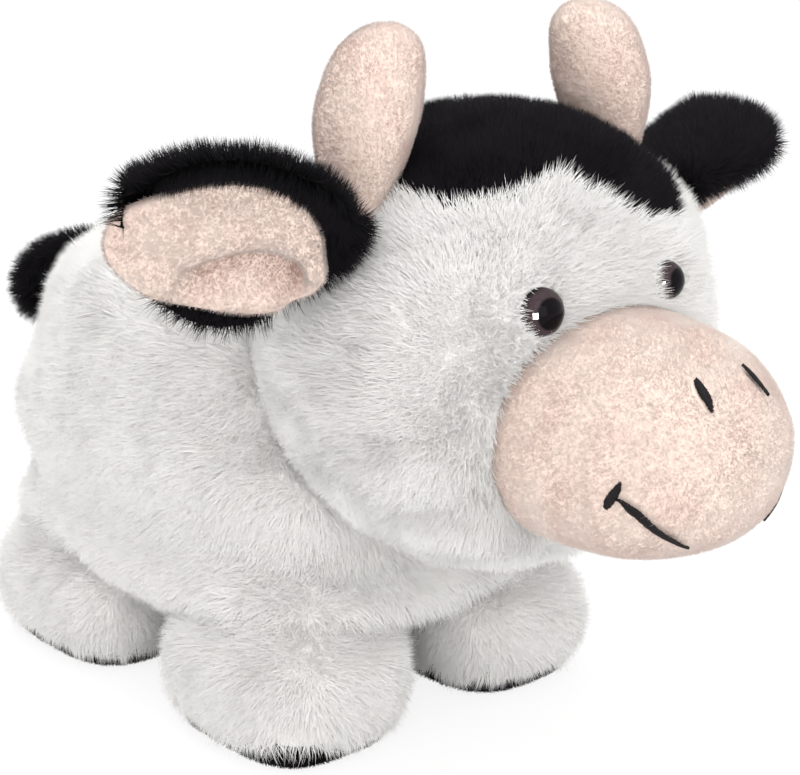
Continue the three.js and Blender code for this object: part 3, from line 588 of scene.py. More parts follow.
def leg_shape(x, y, grow, count=96, steps=26):
    rings = []

    def inset(z):
        return math.copysign(LEG_INSET, x) * min(1, (z / HIP_Z) ** 2)

    def half_width(rise):
        return smooth(LEG_RISE, LEG_WIDE, rise) * LEG_WIDTH / 2 + grow

    def half_length(rise):
        return smooth(LEG_RISE, LEG_LONG, rise) * LEG_LENGTH / 2 + grow

    def add(z, width, length):
        rings.append(level_ring((x - inset(z), y, z), width, length, LEG_POWER, count))

    base = LEG_LIFT + LEG_UNDER
    for share in LEG_FOOT:
        add(base, share * half_width(0), share * half_length(0))
    for rise in np.linspace(0, 1, steps):
        round_in = 1 - FOOT_ROUND * (1 - min(1, rise / FOOT_ROUND_RISE)) ** 2
        add(base + rise * (HIP_Z - base), round_in * half_width(rise), round_in * half_length(rise))
    for angle in np.linspace(0.1, 0.9, 6) * QUARTER:
        z = HIP_Z + HIP_DOME * half_length(1) * math.sin(angle)
        add(z, half_width(1) * math.cos(angle) ** 0.5, half_length(1) * math.cos(angle) ** 0.8)
    last = HIP_Z + HIP_DOME * half_length(1)
    return loft(rings, (x, y, base), (x - inset(last), y, last))


def sole_shape(x, y, grow, count=72):
    rings = []
    for rise, size in SOLE_PROFILE:
        z = rise * (SOLE_THICK + grow)
        wide = (LEG_WIDE[0] * LEG_WIDTH / 2 - SOLE_INSET + grow) * size
        long = (LEG_LONG[0] * LEG_LENGTH / 2 - SOLE_INSET + grow) * size
        rings.append(level_ring((x, y, z), wide, long, LEG_POWER, count))
    return loft(rings, (x, y, 0), (x, y, SOLE_THICK + grow))


# Hair
def nearest_of(points, chosen):
    tree = KDTree(len(chosen))
    for k, i in enumerate(chosen):
        tree.insert(points[i], k)
    tree.balance()
    return chosen[np.array([tree.find(p)[1] for p in points])]


def pile(name, roots, normals, body, mat, slot, seed, length, width, area, lean=0.3, comb=(0, 1, 0),
         rough=0.2, tufts=((1.5, 0.16), (5.0, 0.1)), tone=None, soft=0.95, spread=0.12, swirl=0.4,
         grain=0.12, push=None, keep=None):
    """Standing hair as fine closed spikes that lean along comb and gather in tufts."""
    rng = np.random.default_rng(seed)
    count = len(roots)
    flow = comb(roots, normals) if callable(comb) else np.broadcast_to(comb, roots.shape).astype(float)
    broad, fine = (
        np.stack([waves(roots, wave, seed + first + k) for k in range(3)], axis=1)
        for wave, first in ((FLOW_SIZE, 0), (FINE_FLOW_SIZE, 5))
    )
    flow = flow + swirl * broad + FINE_FLOW * swirl * fine
    flow = flow - normals * (flow * normals).sum(1, keepdims=True)
    size = np.linalg.norm(flow, axis=1, keepdims=True)
    flow = flow / np.maximum(size, FLOW_LEAST)
    direction = unit(normals + flow * lean + rng.normal(size=(count, 3)) * rough)
    reach = length * (1 + spread * rng.normal(size=count))
    reach = reach * (1 + REACH_WAVE * waves(roots, REACH_SIZE, seed + 9))
    reach = np.clip(reach, REACH_LEAST * length, REACH_MOST * length)
    tips = roots + direction * reach[:, None]
    for tuft, amount in tufts:
        heads = int(area / tuft**2)
        if 1 < heads < count:
            lead = nearest_of(roots, rng.choice(count, heads, replace=False))
            tips = tips + (tips[lead] - tips) * (amount * rng.uniform(0.4, 1, count))[:, None]
            tips = roots + unit(tips - roots) * reach[:, None]
    if push is not None:
        tips = push(tips)
    if keep is not None:
        ok = keep(roots, tips)
        roots, normals, tips = (v[ok] for v in (roots, normals, tips))
        count = len(roots)
    direction = unit(tips - roots)
    helper = unit(np.cross(direction, rng.normal(size=(count, 3))))
    other = np.cross(direction, helper)
    thick = width / 2 * rng.uniform(*HAIR_EVEN, count)[:, None]
    ring_points, ring_normals = [], []
    for k in range(HAIR_SIDES):
        a = 2 * math.pi * k / HAIR_SIDES
        radial = helper * math.cos(a) + other * math.sin(a)
        ring_points.append(roots - direction * HAIR_SINK + radial * thick)
        ring_normals.append(unit(normals * soft + radial * (1 - soft)))
    points = np.stack([*ring_points, tips], axis=1).reshape(-1, 3)
    ring_normals.append(unit(normals * soft + direction * (1 - soft)))
    shade = np.stack(ring_normals, axis=1).reshape(-1, 3)
    base = np.arange(count)[:, None] * 4
    tri = np.concatenate([base + (0, 1, 3), base + (1, 2, 3), base + (2, 0, 3)], axis=1).reshape(-1, 3)
    me = bpy.data.meshes.new(name)
    me.vertices.add(len(points))
    me.vertices.foreach_set("co", to_row(points).ravel())
    me.loops.add(len(tri) * 3)
    me.loops.foreach_set("vertex_index", tri.ravel())
    me.polygons.add(len(tri))
    me.polygons.foreach_set("loop_start", np.arange(len(tri)) * 3)
    me.update(calc_edges=True)
    me.shade_smooth()
    value = np.full(count, HAIR_TONE) if tone is None else tone(roots)
    u = MAP_LOW + MAP_SPAN * np.clip(value + grain * rng.normal(size=count), 0, 1)
    corner = np.empty((count, HAIR_SIDES, 3, 2))
    for k, (aside, v) in enumerate(((0, MAP_LOW), (2 * MAP_STEP, MAP_LOW), (MAP_STEP, MAP_HIGH))):
        corner[:, :, k] = rows(u + aside, v)[:, None]
    layer = me.uv_layers.new(name="OFBake")
    layer.data.foreach_set("uv", corner.ravel())
    me.materials.append(mat)
    me.normals_split_custom_set_from_vertices(shade.tolist())
    piece(placed(name, me), body, slot)


DENSITY, DENSITY_TO_WIDTH = 1.0, 0.4
WHITE_HAIR = {"mat": WHITE_PILE, "slot": "plush_white", "per_mm2": 6.0, "width": 0.3}
BLACK_HAIR = {"mat": BLACK_PILE, "slot": "plush_black", "per_mm2": 8.5, "width": 0.25, "soft": 0.6}
PINK_HAIR = {
    "mat": PINK_PILE, "slot": "plush_pink", "per_mm2": 9.0, "width": 0.22, "soft": 0.97,
    "tufts": (), "rough": 0.16, "swirl": 0.2, "grain": 0.03,
}


def mottled(seed, size=10, level=0.62, amount=0.2):
    return lambda points: level + amount * waves(points, size, seed)


def coat(name, skin, body, mat, slot, per_mm2, width, seed, length, parts=1, mask=None, **look):
    """One or more pile pieces over a skin. mask picks roots, keep picks whole hairs."""
    roots, normals = skin.scatter(int(skin.areas().sum() * per_mm2 * DENSITY), seed, mask)
    angle = np.arctan2(roots[:, 0], roots[:, 1] - skin.co[:, 1].mean())
    order = np.argsort(angle) if parts > 1 else np.arange(len(roots))
    for k, pick in enumerate(np.array_split(order, parts)):
        label = name if parts == 1 else f"{name}_{k + 1}"
        wide = width / DENSITY**DENSITY_TO_WIDTH
        area = len(pick) / (per_mm2 * DENSITY)
        pile(label, roots[pick], normals[pick], body, mat, slot, seed + 50 * k, length, wide, area, **look)


# Skins
SKINS = {}


def skin_piece(name, shape, cloth, body, nodes, fill, cap=0.0, uneven=None):
    """A padded piece in place of solids. The cap is how far it may swell."""
    verts, faces = shape
    if uneven is not None:
        verts = relief(verts, *uneven)
    SKINS[name] = (mesh_object(name, verts, faces, cloth[0]), body, cloth[1], nodes, fill, cap)


def dent(verts, centre, radius):
    """Moves points inside a ball out to its surface."""
    off = verts - centre
    far = long_of(off)
    inside = far < radius
    verts[inside] = centre + off[inside] * (radius / far[inside])[:, None]
    return verts


def relief(verts, size, height, seed):
    """Soft unevenness of stuffed fabric, in and out from its middle."""
    return verts + unit(verts - verts.mean(0)) * (height * waves(verts, size, seed))[:, None]


def applied(ob):
    """The object's mesh with its modifiers applied."""
    graph = bpy.context.evaluated_depsgraph_get()
    made = bpy.data.meshes.new_from_object(ob.evaluated_get(graph))
    ob.modifiers.clear()
    old, ob.data = ob.data, made
    bpy.data.meshes.remove(old)


CLOTH_PRESSURE, CLOTH_MASS, CLOTH_FRAMES = 4.0, 0.05, 20
BIG_CAP, SMALL_CAP, BIG_VOXEL, SMALL_VOXEL = 1.4, 0.6, 4.5, 2.5


def stuff(pieces, voxel):
    """Cloth simulation: the fill swells each sewn skin, and no point moves further than its cap."""
    rest = {}
    for ob, _ in pieces:
        remesh = ob.modifiers.new("remesh", "REMESH")
        remesh.mode, remesh.voxel_size, remesh.use_smooth_shade = "VOXEL", voxel * MM, True
        applied(ob)
        rest[ob.name] = numbers(ob.data.vertices, "co")
        cloth = ob.modifiers.new("fill", "CLOTH")
        cloth.settings.use_pressure = True
        cloth.settings.uniform_pressure_force = CLOTH_PRESSURE
        cloth.settings.effector_weights.gravity = 0
        cloth.settings.mass = CLOTH_MASS
        cloth.point_cache.frame_start, cloth.point_cache.frame_end = 1, CLOTH_FRAMES
    for frame_number in range(1, CLOTH_FRAMES + 1):
        scene.frame_set(frame_number)
    graph = bpy.context.evaluated_depsgraph_get()
    for ob, cap in pieces:
        swollen = bpy.data.meshes.new_from_object(ob.evaluated_get(graph))
        moved = numbers(swollen.vertices, "co") - rest[ob.name]
        far = np.linalg.norm(moved, axis=1, keepdims=True)
        moved *= np.minimum(1, cap * MM / np.maximum(far, 1e-9))
        ob.data.vertices.foreach_set("co", (rest[ob.name] + moved).ravel())
        ob.data.update()
        ob.modifiers.clear()
        bpy.data.meshes.remove(swollen)
        smooth_out = ob.modifiers.new("fine", "SUBSURF")
        smooth_out.levels = smooth_out.render_levels = 1
        applied(ob)
        ob.data.shade_smooth()
    scene.frame_set(1)


# Each skin lies this much inside the outside of its pile
BODY_IN, HEAD_IN, LEG_IN, EAR_IN, TAIL_IN = 5.1, 5.0, 4.9, 4.2, 3.8
MUZZLE_IN, HORN_IN, LINING_IN, SOLE_IN, NECK_GAP = 1.0, 0.7, 0.4, 1.0, 1.0
WHITE_CLOTH, BLACK_CLOTH = (WHITE_SKIN, "plush_white"), (BLACK_SKIN, "plush_black")
PINK_CLOTH, SOLE_CLOTH = (PINK_SKIN, "plush_pink"), (BLACK_SKIN, "plush_sole")
verts, faces = body_shape(-BODY_IN)
skin_piece(
    "body_plush", (dent(verts, HEAD, HEAD_RADIUS - NECK_GAP), faces), WHITE_CLOTH, "torso",
    ["body_cover", "body_stuffing", "neck_stuffing"], fill=0.85, cap=1.4, uneven=(24, 0.5, 3),
)
skin_piece(
    "head_plush", head_shape(-HEAD_IN), WHITE_CLOTH, "head", ["head_cover", "head_stuffing", "crown_patch"],
    fill=0.9, cap=1.2, uneven=(26, 0.5, 5),
)
skin_piece(
    "muzzle_plush", muzzle_shape(-MUZZLE_IN), PINK_CLOTH, "head", ["muzzle_cover"],
    fill=0.9, cap=0.8, uneven=(15, 0.35, 7),
)
LEGS = {}
for y_name, y in (("front", FRONT_Y), ("rear", REAR_Y)):
    for side, sign in SIDES:
        key, x = f"{y_name}_{side}", sign * LEG_X
        LEGS[key] = (x, y)
        skin_piece(
            f"leg_plush_{key}", leg_shape(x, y, -LEG_IN), WHITE_CLOTH, f"leg_{key}",
            [f"leg_cover_{key}", f"leg_stuffing_{key}"], fill=0.85, cap=1.0, uneven=(16, 0.4, 9),
        )
        sole = sole_shape(x, y, -SOLE_IN)
        skin_piece(f"sole_plush_{key}", sole, SOLE_CLOTH, f"leg_{key}", [f"sole_{key}"], fill=0.8)
for side, sign in SIDES:
    skin_piece(
        f"horn_plush_{side}", horn_shape(sign, -HORN_IN), PINK_CLOTH, "head",
        [f"horn_cover_{side}", f"horn_stuffing_{side}"], fill=0.95, cap=0.5,
    )
    back, front = ear_shape(side, sign, -EAR_IN), lining_shape(side, sign, -LINING_IN)
    skin_piece(f"ear_plush_{side}", back, BLACK_CLOTH, f"ear_{side}", [f"ear_back_{side}"], fill=0.3)
    skin_piece(
        f"ear_lining_plush_{side}", front, PINK_CLOTH, f"ear_{side}", [f"ear_lining_{side}"], fill=0.4,
    )
skin_piece("tail_plush", tail_shape(-TAIL_IN), BLACK_CLOTH, "tail", ["tail"], fill=0.8)

for lowest, highest, voxel in ((SMALL_CAP, BIG_CAP, BIG_VOXEL), (0, SMALL_CAP, SMALL_VOXEL)):
    swelling = [(skin[0], skin[-1]) for skin in SKINS.values() if lowest < skin[-1] <= highest]
    stuff(swelling, voxel)
FABRIC = {}
for name, (ob, body, slot, nodes, fill, _) in SKINS.items():
    piece(ob, body, slot, *nodes)
    FABRIC[name] = Skin(ob)
body_skin, head_skin, muzzle_skin = FABRIC["body_plush"], FABRIC["head_plush"], FABRIC["muzzle_plush"]


def crown(points, more=0.0):
    """True where the head is black."""
    across = points[:, 0] / HEAD_RADIUS
    edge = np.interp(across, CROWN_ACROSS, CROWN_ABOVE)
    above = (points[:, 2] - HEAD[2]) / HEAD_RADIUS
    return (np.abs(across) < CROWN_SIDE + more) & (above > edge - CROWN_LOWER - more)


# The black cloth of the crown, sewn over the head's own
middle_of = head_skin.co[head_skin.tri].mean(1)
chosen = head_skin.tri[crown(middle_of, 0.01)]
used, index = np.unique(chosen, return_inverse=True)
points = head_skin.co[used] + head_skin.no[used] * CROWN_LIFT
crown_ob = mesh_object("crown_plush", points, index.reshape(-1, 3).tolist(), BLACK_SKIN)
thicken = crown_ob.modifiers.new("thick", "SOLIDIFY")
thicken.thickness, thicken.offset = CROWN_CLOTH * MM, -1
applied(crown_ob)
piece(crown_ob, "head", "plush_black")

EYES = []
for side, sign in SIDES:
    place = sign * EYE_SPREAD, EYE_RISE
    n = face_normal(*place)
    EYES.append((side, sign, face_point(*place) - n * EYE_SINK[side], n))


def eye_places(points, side, seat, n):
    """How high points lie over an eye's seat, how far from its axis, and how high its dome is there."""
    off = points - seat
    high = off @ n
    aside = long_of(off - high[:, None] * n)
    return high, aside, EYE_DOME * np.sqrt(np.maximum(0, 1 - (aside / EYE_RADIUS[side]) ** 2))


ROOT_OFF_EYE, TIP_OVER_EYE, TIP_IN_EYE = 0.3, 0.7, 1.0


def off_eyes(roots, tips):
    """No hair grows under an eye, and what hangs over it lies on the dome."""
    ok = np.ones(len(roots), bool)
    for side, _, seat, n in EYES:
        radius = EYE_RADIUS[side]
        high, aside, _ = eye_places(roots, side, seat, n)
        ok &= (aside > radius + ROOT_OFF_EYE) | (np.abs(high) > EYE_NEAR)
        high, aside, dome = eye_places(tips, side, seat, n)
        over = (aside > radius - TIP_OVER_EYE) & (high > dome - TIP_IN_EYE)
        ok &= over | (aside > radius) | (np.abs(high) > EYE_NEAR)
    return ok


SEARCH, ROOT_GAP, INTO_HEAD = 2.0, 0.1, 1.8


def clear_of(*skins):
    """Hairs whose root is outside the other skins and whose tip is no deeper in them than each limit."""
    def outside(skin, limit):
        deep = skin.depth
        return lambda roots, tips: (deep(roots, SEARCH) <= -ROOT_GAP) & (deep(tips, SEARCH) <= limit)
    return both(*(outside(*pair) for pair in skins))


def both(*tests):
    """Hairs that pass each test in turn."""
    def keep(roots, tips):
        ok = np.ones(len(roots), bool)
        for test in tests:
            left = np.nonzero(ok)[0]
            ok[left[~test(roots[left], tips[left])]] = False
        return ok
    return keep


def off_head(tips):
    """Bends hair that would go into the back of the head's coat round it."""
    bent = dent(tips.copy(), HEAD, HEAD_RADIUS - INTO_HEAD)
    return np.where(tips[:, 1:2] > HEAD[1], bent, tips)


def off_ground(height):
    return lambda tips: np.maximum(tips, (-math.inf, -math.inf, height))


# Stitches, each a path of muzzle shares and turns with a width at each point, and the threads' slant
STITCH_STEP, STITCH_START, STITCH_END, STITCH_UNEVEN = 0.34, 0.15, 0.1, (-0.08, 0.12)
THREAD_HIGH, THREAD_SUNK, THREAD_LOOSE, THREAD_WIDE, THREAD_THICK = 0.45, 0.6, 0.02, 0.2, 0.17
STITCH_BACK, STITCH_CLEAR, STITCH_OVER = 12, 1.1, 0.1


def stitch_path(along, turns, widths, count=400):
    share = np.linspace(0, 1, len(along))
    t = np.linspace(0, 1, count)
    a, b, w = (smooth(share, values, t) for values in (along, turns, widths))
    return muzzle_point(a, b, 0.05), w


def stitching(name, paths, sign, node_name):
    """Satin stitch: short threads laid side by side across each path."""
    verts, faces = [], []
    rng = np.random.default_rng(3)
    for along, turns, widths, slant in paths:
        places, wide = stitch_path(along, turns, widths)
        run = np.concatenate([[0], np.cumsum(long_of(np.diff(places, axis=0)))])
        for at in np.arange(STITCH_START, run[-1] - STITCH_END, STITCH_STEP):
            k = int(np.clip(np.searchsorted(run, at), 2, len(places) - 3))
            on = unit(places[k + 2] - places[k - 2])
            out = unit(places[k] - np.array([0, places[k][1] + STITCH_BACK, MUZZLE_Z]))
            across = unit(np.cross(on, out))
            out = np.cross(across, on)
            half = wide[k] / 2 + rng.uniform(*STITCH_UNEVEN)
            rings = []
            for u in np.linspace(-1, 1, 7):
                centre = places[k] + across * half * u + on * slant * u * half
                centre = centre + out * (THREAD_HIGH * (1 - u * u) - THREAD_SUNK)
                centre = centre + rng.normal(size=3) * THREAD_LOOSE
                rings.append(ring(centre, on * THREAD_WIDE, out * THREAD_THICK, 2, 6))
            v, f = loft(rings, rings[0].mean(0), rings[-1].mean(0))
            faces += [tuple(i + len(verts) for i in face) for face in f]
            verts += v.tolist()
    ob = mesh_object(name, np.array(verts) * (sign, 1, 1), faces, THREAD)
    piece(ob, "head", "thread", node_name)


THREAD, _, _ = material("thread_black", 0.5, 0.25, colour=(0.006, 0.004, 0.005))
NOSTRIL = (
    (0.728, 0.752, 0.79, 0.835, 0.872), (1.318, 1.292, 1.252, 1.196, 1.118),
    (0.5, 1.8, 2.2, 1.7, 0.4), 0.5,
)
MOUTH = (
    (0.635, 0.659, 0.7, 0.731, 0.782, 0.81, 0.822), (-0.11, -0.128, -0.21, -0.29, -0.548, -0.78, -1.02),
    (0.3, 0.9, 2.0, 2.2, 1.8, 1.1, 0.3), 0.4,
)
TICK = (
    (0.66, 0.645, 0.626, 0.605, 0.586), (0.02, -0.035, -0.089, -0.145, -0.205),
    (0.5, 1.7, 2.3, 2.2, 1.2), 0.25,
)
STITCHED = []
for side, sign in SIDES:
    stitching(f"nostril_thread_{side}", [NOSTRIL], sign, f"nostril_stitch_{side}")
    stitching(f"mouth_thread_{side}", [MOUTH, TICK], sign, f"mouth_stitch_{side}")
    for along, turns, widths, _ in (NOSTRIL, MOUTH, TICK):
        places, wide = stitch_path(along, turns, widths, 40)
        STITCHED += [(p * (sign, 1, 1), w) for p, w in zip(places, wide)]


def off_stitches(roots, tips):
    ok = np.ones(len(roots), bool)
    for place, wide in STITCHED:
        ok &= long_of(roots - place) > wide / 2 + STITCH_CLEAR
        ok &= long_of(tips - place) > wide / 2 - STITCH_OVER
    return ok


# Coats, and how deep the tips may go into their neighbours
legs = [(FABRIC[f"leg_plush_{key}"], 1.5) for key in LEGS]
horns = [(FABRIC[f"horn_plush_{side}"], 0.4) for side, _ in SIDES]
ear_roots = [(FABRIC[f"ear_plush_{side}"], 1.0) for side, _ in SIDES]
NECK_BARE, BELLY_BARE, MUZZLE_SEAM = 0.4, 3.0, 5.0
DOWN = (0, 0, -1)


def on_body(points, normals):
    off_neck = long_of(points - HEAD) > HEAD_RADIUS - NECK_BARE
    return off_neck & (points[:, 2] > BODY_GAP - BELLY_BARE)


coat(
    "body_pile", body_skin, "torso", **WHITE_HAIR, seed=11, length=5.9, parts=6, mask=on_body,
    push=off_head, keep=clear_of(*legs), comb=(0, 0.4, -0.8), lean=0.35, tone=mottled(12),
)
coat(
    "head_pile", head_skin, "head", **WHITE_HAIR, seed=21, length=5.1, parts=5, mask=lambda p, n: ~crown(p),
    push=lambda tips: muzzle_skin.push(tips, 0.3),
    keep=both(clear_of((muzzle_skin, 9.0), *horns, *ear_roots), off_eyes),
    comb=lambda p, n: unit((p - HEAD) * (1, 0.4, 1)) + (0, 0.3, 0.5), tone=mottled(22),
)
coat(
    "crown_pile", head_skin, "head", **{**BLACK_HAIR, "width": 0.24}, seed=31, length=4.4,
    mask=lambda p, n: crown(p), keep=clear_of(*horns, *ear_roots), comb=(0, 0.3, 0.6), tone=mottled(32),
)
coat(
    "muzzle_pile", muzzle_skin, "head", **PINK_HAIR, seed=41, length=0.85, parts=2,
    mask=lambda p, n: p[:, 1] < MUZZLE_Y + MUZZLE_SEAM, comb=(0, 0.8, -0.3), lean=0.45,
    keep=both(clear_of((head_skin, 0.2)), off_stitches), tone=mottled(42, 14, 0.72, 0.12),
)

# The near boot's white hair is thin at its front corner, where its sole shows
TO_VIEWER = np.array([-0.66, -0.751, 0])
WORN_FROM, WORN_EASE, WORN_HIGH = 21, 6, 11.5
LEG_PILE_LOW, LEG_PILE_HIGH, SKIRT_HIGH, LEG_UNDERSIDE = 4.6, 42, 11, -0.6


def worn(key, x, y, share):
    def keep(roots, tips):
        out = (roots - (x, y, 0)) @ TO_VIEWER
        bare = np.clip((out - WORN_FROM) / WORN_EASE, 0, 1) * (roots[:, 2] < WORN_HIGH) * share
        return np.random.default_rng(5).random(len(roots)) > bare * (key == "front_right")
    return keep


def leg_band(high):
    """The sides of a leg from its sole up to a height."""
    return lambda p, n: (p[:, 2] > LEG_PILE_LOW) & (p[:, 2] < high) & (n[:, 2] > LEG_UNDERSIDE)


for i, (key, (x, y)) in enumerate(LEGS.items()):
    leg, body = FABRIC[f"leg_plush_{key}"], f"leg_{key}"
    coat(
        f"leg_pile_{key}", leg, body, **WHITE_HAIR, seed=51 + i, length=5.6, mask=leg_band(LEG_PILE_HIGH),
        comb=DOWN, lean=0.35, keep=both(clear_of((body_skin, 2.5)), worn(key, x, y, 0.9)),
        tone=mottled(52 + i), push=off_ground(0.6),
    )
    coat(
        f"leg_skirt_{key}", leg, body, **{**WHITE_HAIR, "per_mm2": 7.0}, seed=151 + i, length=7.8,
        mask=leg_band(SKIRT_HIGH), comb=DOWN, lean=1.7, keep=worn(key, x, y, 0.93),
        tone=mottled(52 + i), push=off_ground(0.5),
    )
    coat(
        f"sole_pile_{key}", FABRIC[f"sole_plush_{key}"], body,
        **{**BLACK_HAIR, "slot": "plush_sole", "per_mm2": 6.0, "width": 0.26}, seed=61 + i, length=1.0,
        mask=lambda p, n: n[:, 2] < 0.3, comb=lambda p, n: unit((p - (x, y, 0)) * (1, 1, 0)), lean=0.8,
        push=off_ground(0.1),
    )

# The ears' black pile stays off the lining, down to these depths over the skin, and off the tip's front
BACK_DEPTHS, BACK_GAP, BACK_SEARCH = (0.4, 1.4, 2.6, 4), 0.2, 4.0
BARE_TIP, BARE_TIP_FRONT = 0.84, 0.1
# The second of these is painted shade: how much darker and rosier the lining's hairs are painted down in
# the pocket under the fold.
LINING_TONE, POCKET_PAINTED_SHADE, LINING_MOTTLE, LINING_FRONT = 0.78, 0.9, 0.1, -0.25
for side, sign in SIDES:
    i = sign + 1
    lining, ear = FABRIC[f"ear_lining_plush_{side}"], FABRIC[f"ear_plush_{side}"]
    hinge = EAR_HINGE[side] * (sign, 1, 1)
    along_axis, up_axis, out_axis = ear_axes(side)

    def back_of_ear(points, normals):
        off = (points - hinge) * (sign, 1, 1)
        front = normals * (sign, 1, 1) @ out_axis > BARE_TIP_FRONT
        tip = (off @ along_axis > BARE_TIP * EAR_SIZE[side][0]) & front
        under = [lining.depth(points + normals * far, BACK_SEARCH) > -BACK_GAP for far in BACK_DEPTHS]
        return ~(tip | np.any(under, axis=0))

    def lining_tone_with_painted_shade(points):
        """Lighter on the folds, and painted shade down in the pocket: darker and rosier there, with a
        random mottle over all.
        """
        off = (points - hinge) * (sign, 1, 1)
        share = off @ along_axis / EAR_SIZE[side][0]
        half, _, _ = ear_sizes(side, np.clip(share, 0.05, 0.97))
        deep = pocket(share, off @ up_axis / half)
        return LINING_TONE - POCKET_PAINTED_SHADE * deep**1.5 + LINING_MOTTLE * waves(points, 12, 83)

    coat(
        f"ear_pile_{side}", ear, f"ear_{side}", **{**BLACK_HAIR, "per_mm2": 8.0}, seed=71 + i, length=5.0,
        parts=2, mask=back_of_ear, keep=clear_of((lining, 0.2)), comb=lambda p, n: unit(p - hinge),
        lean=0.25, tone=mottled(72),
    )
    coat(
        f"ear_lining_pile_{side}", lining, f"ear_{side}", **PINK_HAIR, seed=81 + i, length=1.0,
        mask=lambda p, n: n * (sign, 1, 1) @ out_axis > LINING_FRONT, comb=lambda p, n: unit(p - hinge),
        lean=0.4, tone=lining_tone_with_painted_shade,
    )
    coat(
        f"horn_pile_{side}", FABRIC[f"horn_plush_{side}"], "head", **PINK_HAIR, seed=91 + i, length=0.85,
        comb=(0, 0, 1), lean=0.45, keep=clear_of((head_skin, 0.5)), tone=mottled(92, 12, 0.66, 0.12),
    )
coat(
    "tail_pile", FABRIC["tail_plush"], "tail", **BLACK_HAIR, seed=99, length=4.3,
    keep=clear_of((body_skin, 1.5)), comb=lambda p, n: unit(p - tail_middle(0.0)), lean=0.4,
    tone=mottled(98),
)


# Eyes
def eye_material():
    mat, tree, shader = material("eye_plastic", roughness=0.06, specular=0.1)
    place = node(tree, "ShaderNodeUVMap", uv_map="round").outputs["UV"]
    parts = node(tree, "ShaderNodeSeparateXYZ")
    link(place, parts.inputs["Vector"])
    dark, brown = (0.003, 0.002, 0.003), (0.045, 0.03, 0.034)
    stops = [(0.0, dark), (0.6, dark), (0.7, brown), (0.93, brown), (1.0, dark)]
    colour = ramp(tree, parts.outputs["X"], stops)
    link(colour, shader.inputs["Base Color"])
    return mat


EYE_MAT, EYE_SIDES = eye_material(), 64
for side, sign, seat, n in EYES:
    radius = EYE_RADIUS[side]
    aside = unit(np.cross(n, Z))
    over = np.cross(aside, n)
    rings, shares = [], []
    for a in np.linspace(0, QUARTER, 20, endpoint=False):
        wide, high = radius * math.cos(a), EYE_DOME * math.sin(a)
        rings.append(ring(seat + n * high, aside * wide, over * wide, 2, EYE_SIDES))
        shares.append(math.cos(a))
    verts, faces = loft(rings, seat - n * EYE_SHANK, seat + n * EYE_DOME)
    ob = mesh_object(f"eye_dome_{side}", verts, faces, EYE_MAT)
    shares = np.concatenate([[1.0], np.repeat(shares, EYE_SIDES), [0.0]])
    layer = ob.data.uv_layers.new(name="round")
    index = numbers(ob.data.loops, "vertex_index", 1, int)[:, 0]
    layer.data.foreach_set("uv", rows(shares[index], 0.5).ravel())
    piece(ob, "head", "eye_plastic", f"eye_{side}", f"eye_washer_{side}")

    # Fine hairs that lie over the lower and outer rim
    rng = np.random.default_rng(7 + sign)
    angle = rng.normal(FRINGE_SIDE[side], FRINGE_SPREAD, FRINGE_HAIRS)
    spoke = rows(np.cos(angle), 0, np.sin(angle))
    spoke = unit(spoke - n * (spoke @ n)[:, None])
    roots = seat + spoke * (radius + rng.uniform(*FRINGE_REACH, FRINGE_HAIRS))[:, None] - n * FRINGE_SINK
    wanted = seat + spoke * (radius - rng.uniform(*FRINGE_REACH, FRINGE_HAIRS))[:, None]
    dome = eye_places(wanted, side, seat, n)[2]
    lashes = wanted + n * (dome + FRINGE_LIFT)[:, None]
    lashes = lashes + rng.normal(size=(FRINGE_HAIRS, 3)) * FRINGE_LOOSE
    pile(
        f"eye_fringe_{side}", roots, np.repeat(n[None], FRINGE_HAIRS, 0), "head", WHITE_PILE, "plush_white",
        seed=17, length=5.0, width=0.2, area=1.0, tufts=(), push=lambda tips: lashes, rough=0,
    )


# Camera
AZIMUTH, ELEVATION, DISTANCE = math.radians(-41.3), math.radians(17.6), 0.56
LENS, SENSOR = 96.3, 36
TARGET = Vector(to_row((0, -37, 89.2)))
back = Vector((
    math.sin(AZIMUTH) * math.cos(ELEVATION),
    -math.cos(AZIMUTH) * math.cos(ELEVATION),
    math.sin(ELEVATION),
))
camera = placed("camera", bpy.data.cameras.new("camera"))
camera.data.lens, camera.data.sensor_width = LENS, SENSOR
camera.location = TARGET + back * DISTANCE
camera.rotation_euler = (-back).to_track_quat("-Z", "Y").to_euler()
scene.camera = camera

# Floor
def seen_as_background(tree):
    """1 for rays that come from the camera, a reflection or a see-through surface, else 0."""
    path = node(tree, "ShaderNodeLightPath")
    seen = path.outputs["Is Camera Ray"]
    for kind in ("Is Glossy Ray", "Is Transmission Ray"):
        either = node(tree, "ShaderNodeMath", operation="MAXIMUM")
        link(seen, either.inputs[0])
        link(path.outputs[kind], either.inputs[1])
        seen = either.outputs[0]
    return seen


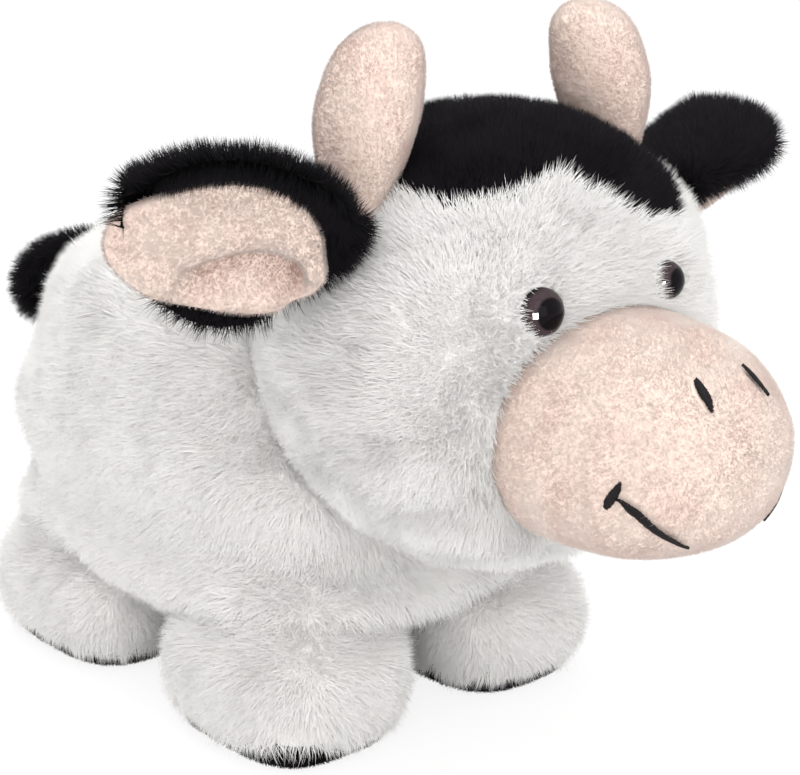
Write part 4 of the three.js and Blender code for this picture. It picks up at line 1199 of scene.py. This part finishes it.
FLOOR_GLOW, FLOOR_HALF = 0.86, 6
floor_mat, tree, shader = material("floor_white", specular=0, colour=(0.92, 0.92, 0.92))
glow = node(tree, "ShaderNodeEmission")
share = node(tree, "ShaderNodeMath", {1: FLOOR_GLOW}, operation="MULTIPLY")
link(seen_as_background(tree), share.inputs[0])
mix = node(tree, "ShaderNodeMixShader")
link(share.outputs[0], mix.inputs["Fac"])
link(shader.outputs[0], mix.inputs[1])
link(glow.outputs[0], mix.inputs[2])
link(mix.outputs[0], tree.nodes["Material Output"].inputs["Surface"])
me = bpy.data.meshes.new("floor")
me.from_pydata(
    [(x * FLOOR_HALF, y * FLOOR_HALF, 0) for x, y in ((-1, -1), (1, -1), (1, 1), (-1, 1))],
    [], [(0, 1, 2, 3)],
)
me.materials.append(floor_mat)
floor = placed("floor", me)

# Light
WORLD_LIGHT = 1.45
world = bpy.data.worlds.new("studio")
scene.world = world
world.use_nodes = True
tree = world.node_tree
level = node(tree, "ShaderNodeMapRange", {"To Min": WORLD_LIGHT, "To Max": 1.0})
link(seen_as_background(tree), level.inputs["Value"])
link(level.outputs[0], tree.nodes["Background"].inputs["Strength"])
tree.nodes["Background"].inputs["Color"].default_value = (1, 1, 1, 1)


def lamp(name, place, aim, size, power):
    data = bpy.data.lights.new(name, "AREA")
    data.size, data.energy = size, power
    ob = placed(name, data)
    ob.location = place
    ob.rotation_euler = (Vector(aim) - Vector(place)).to_track_quat("-Z", "Y").to_euler()
    return ob


MIDDLE = (0, 0, 0.08)
lamp("key", (-0.55, -0.75, 0.95), MIDDLE, size=0.6, power=2)
lamp("top", (0.1, 0.2, 1.4), MIDDLE, size=1.2, power=6)
lamp("fill", (-0.7, -1.3, 0.22), MIDDLE, size=1.6, power=10.5)

# A small lamp for the glint in the eyes, which lights nothing else
near_eye = Vector(to_row(EYES[0][2]))
GLINT_FROM, GLINT_FAR = Vector((-0.756, -0.648, -0.095)), 0.42
glint = lamp("glint", near_eye + GLINT_FROM * GLINT_FAR, near_eye, size=0.2, power=36)
glint.visible_diffuse = False
lit = bpy.data.collections.new("eyes")
for side, _ in SIDES:
    lit.objects.link(bpy.data.objects[f"eye_dome_{side}"])
glint.light_linking.receiver_collection = lit

scene.view_settings.view_transform = "Standard"
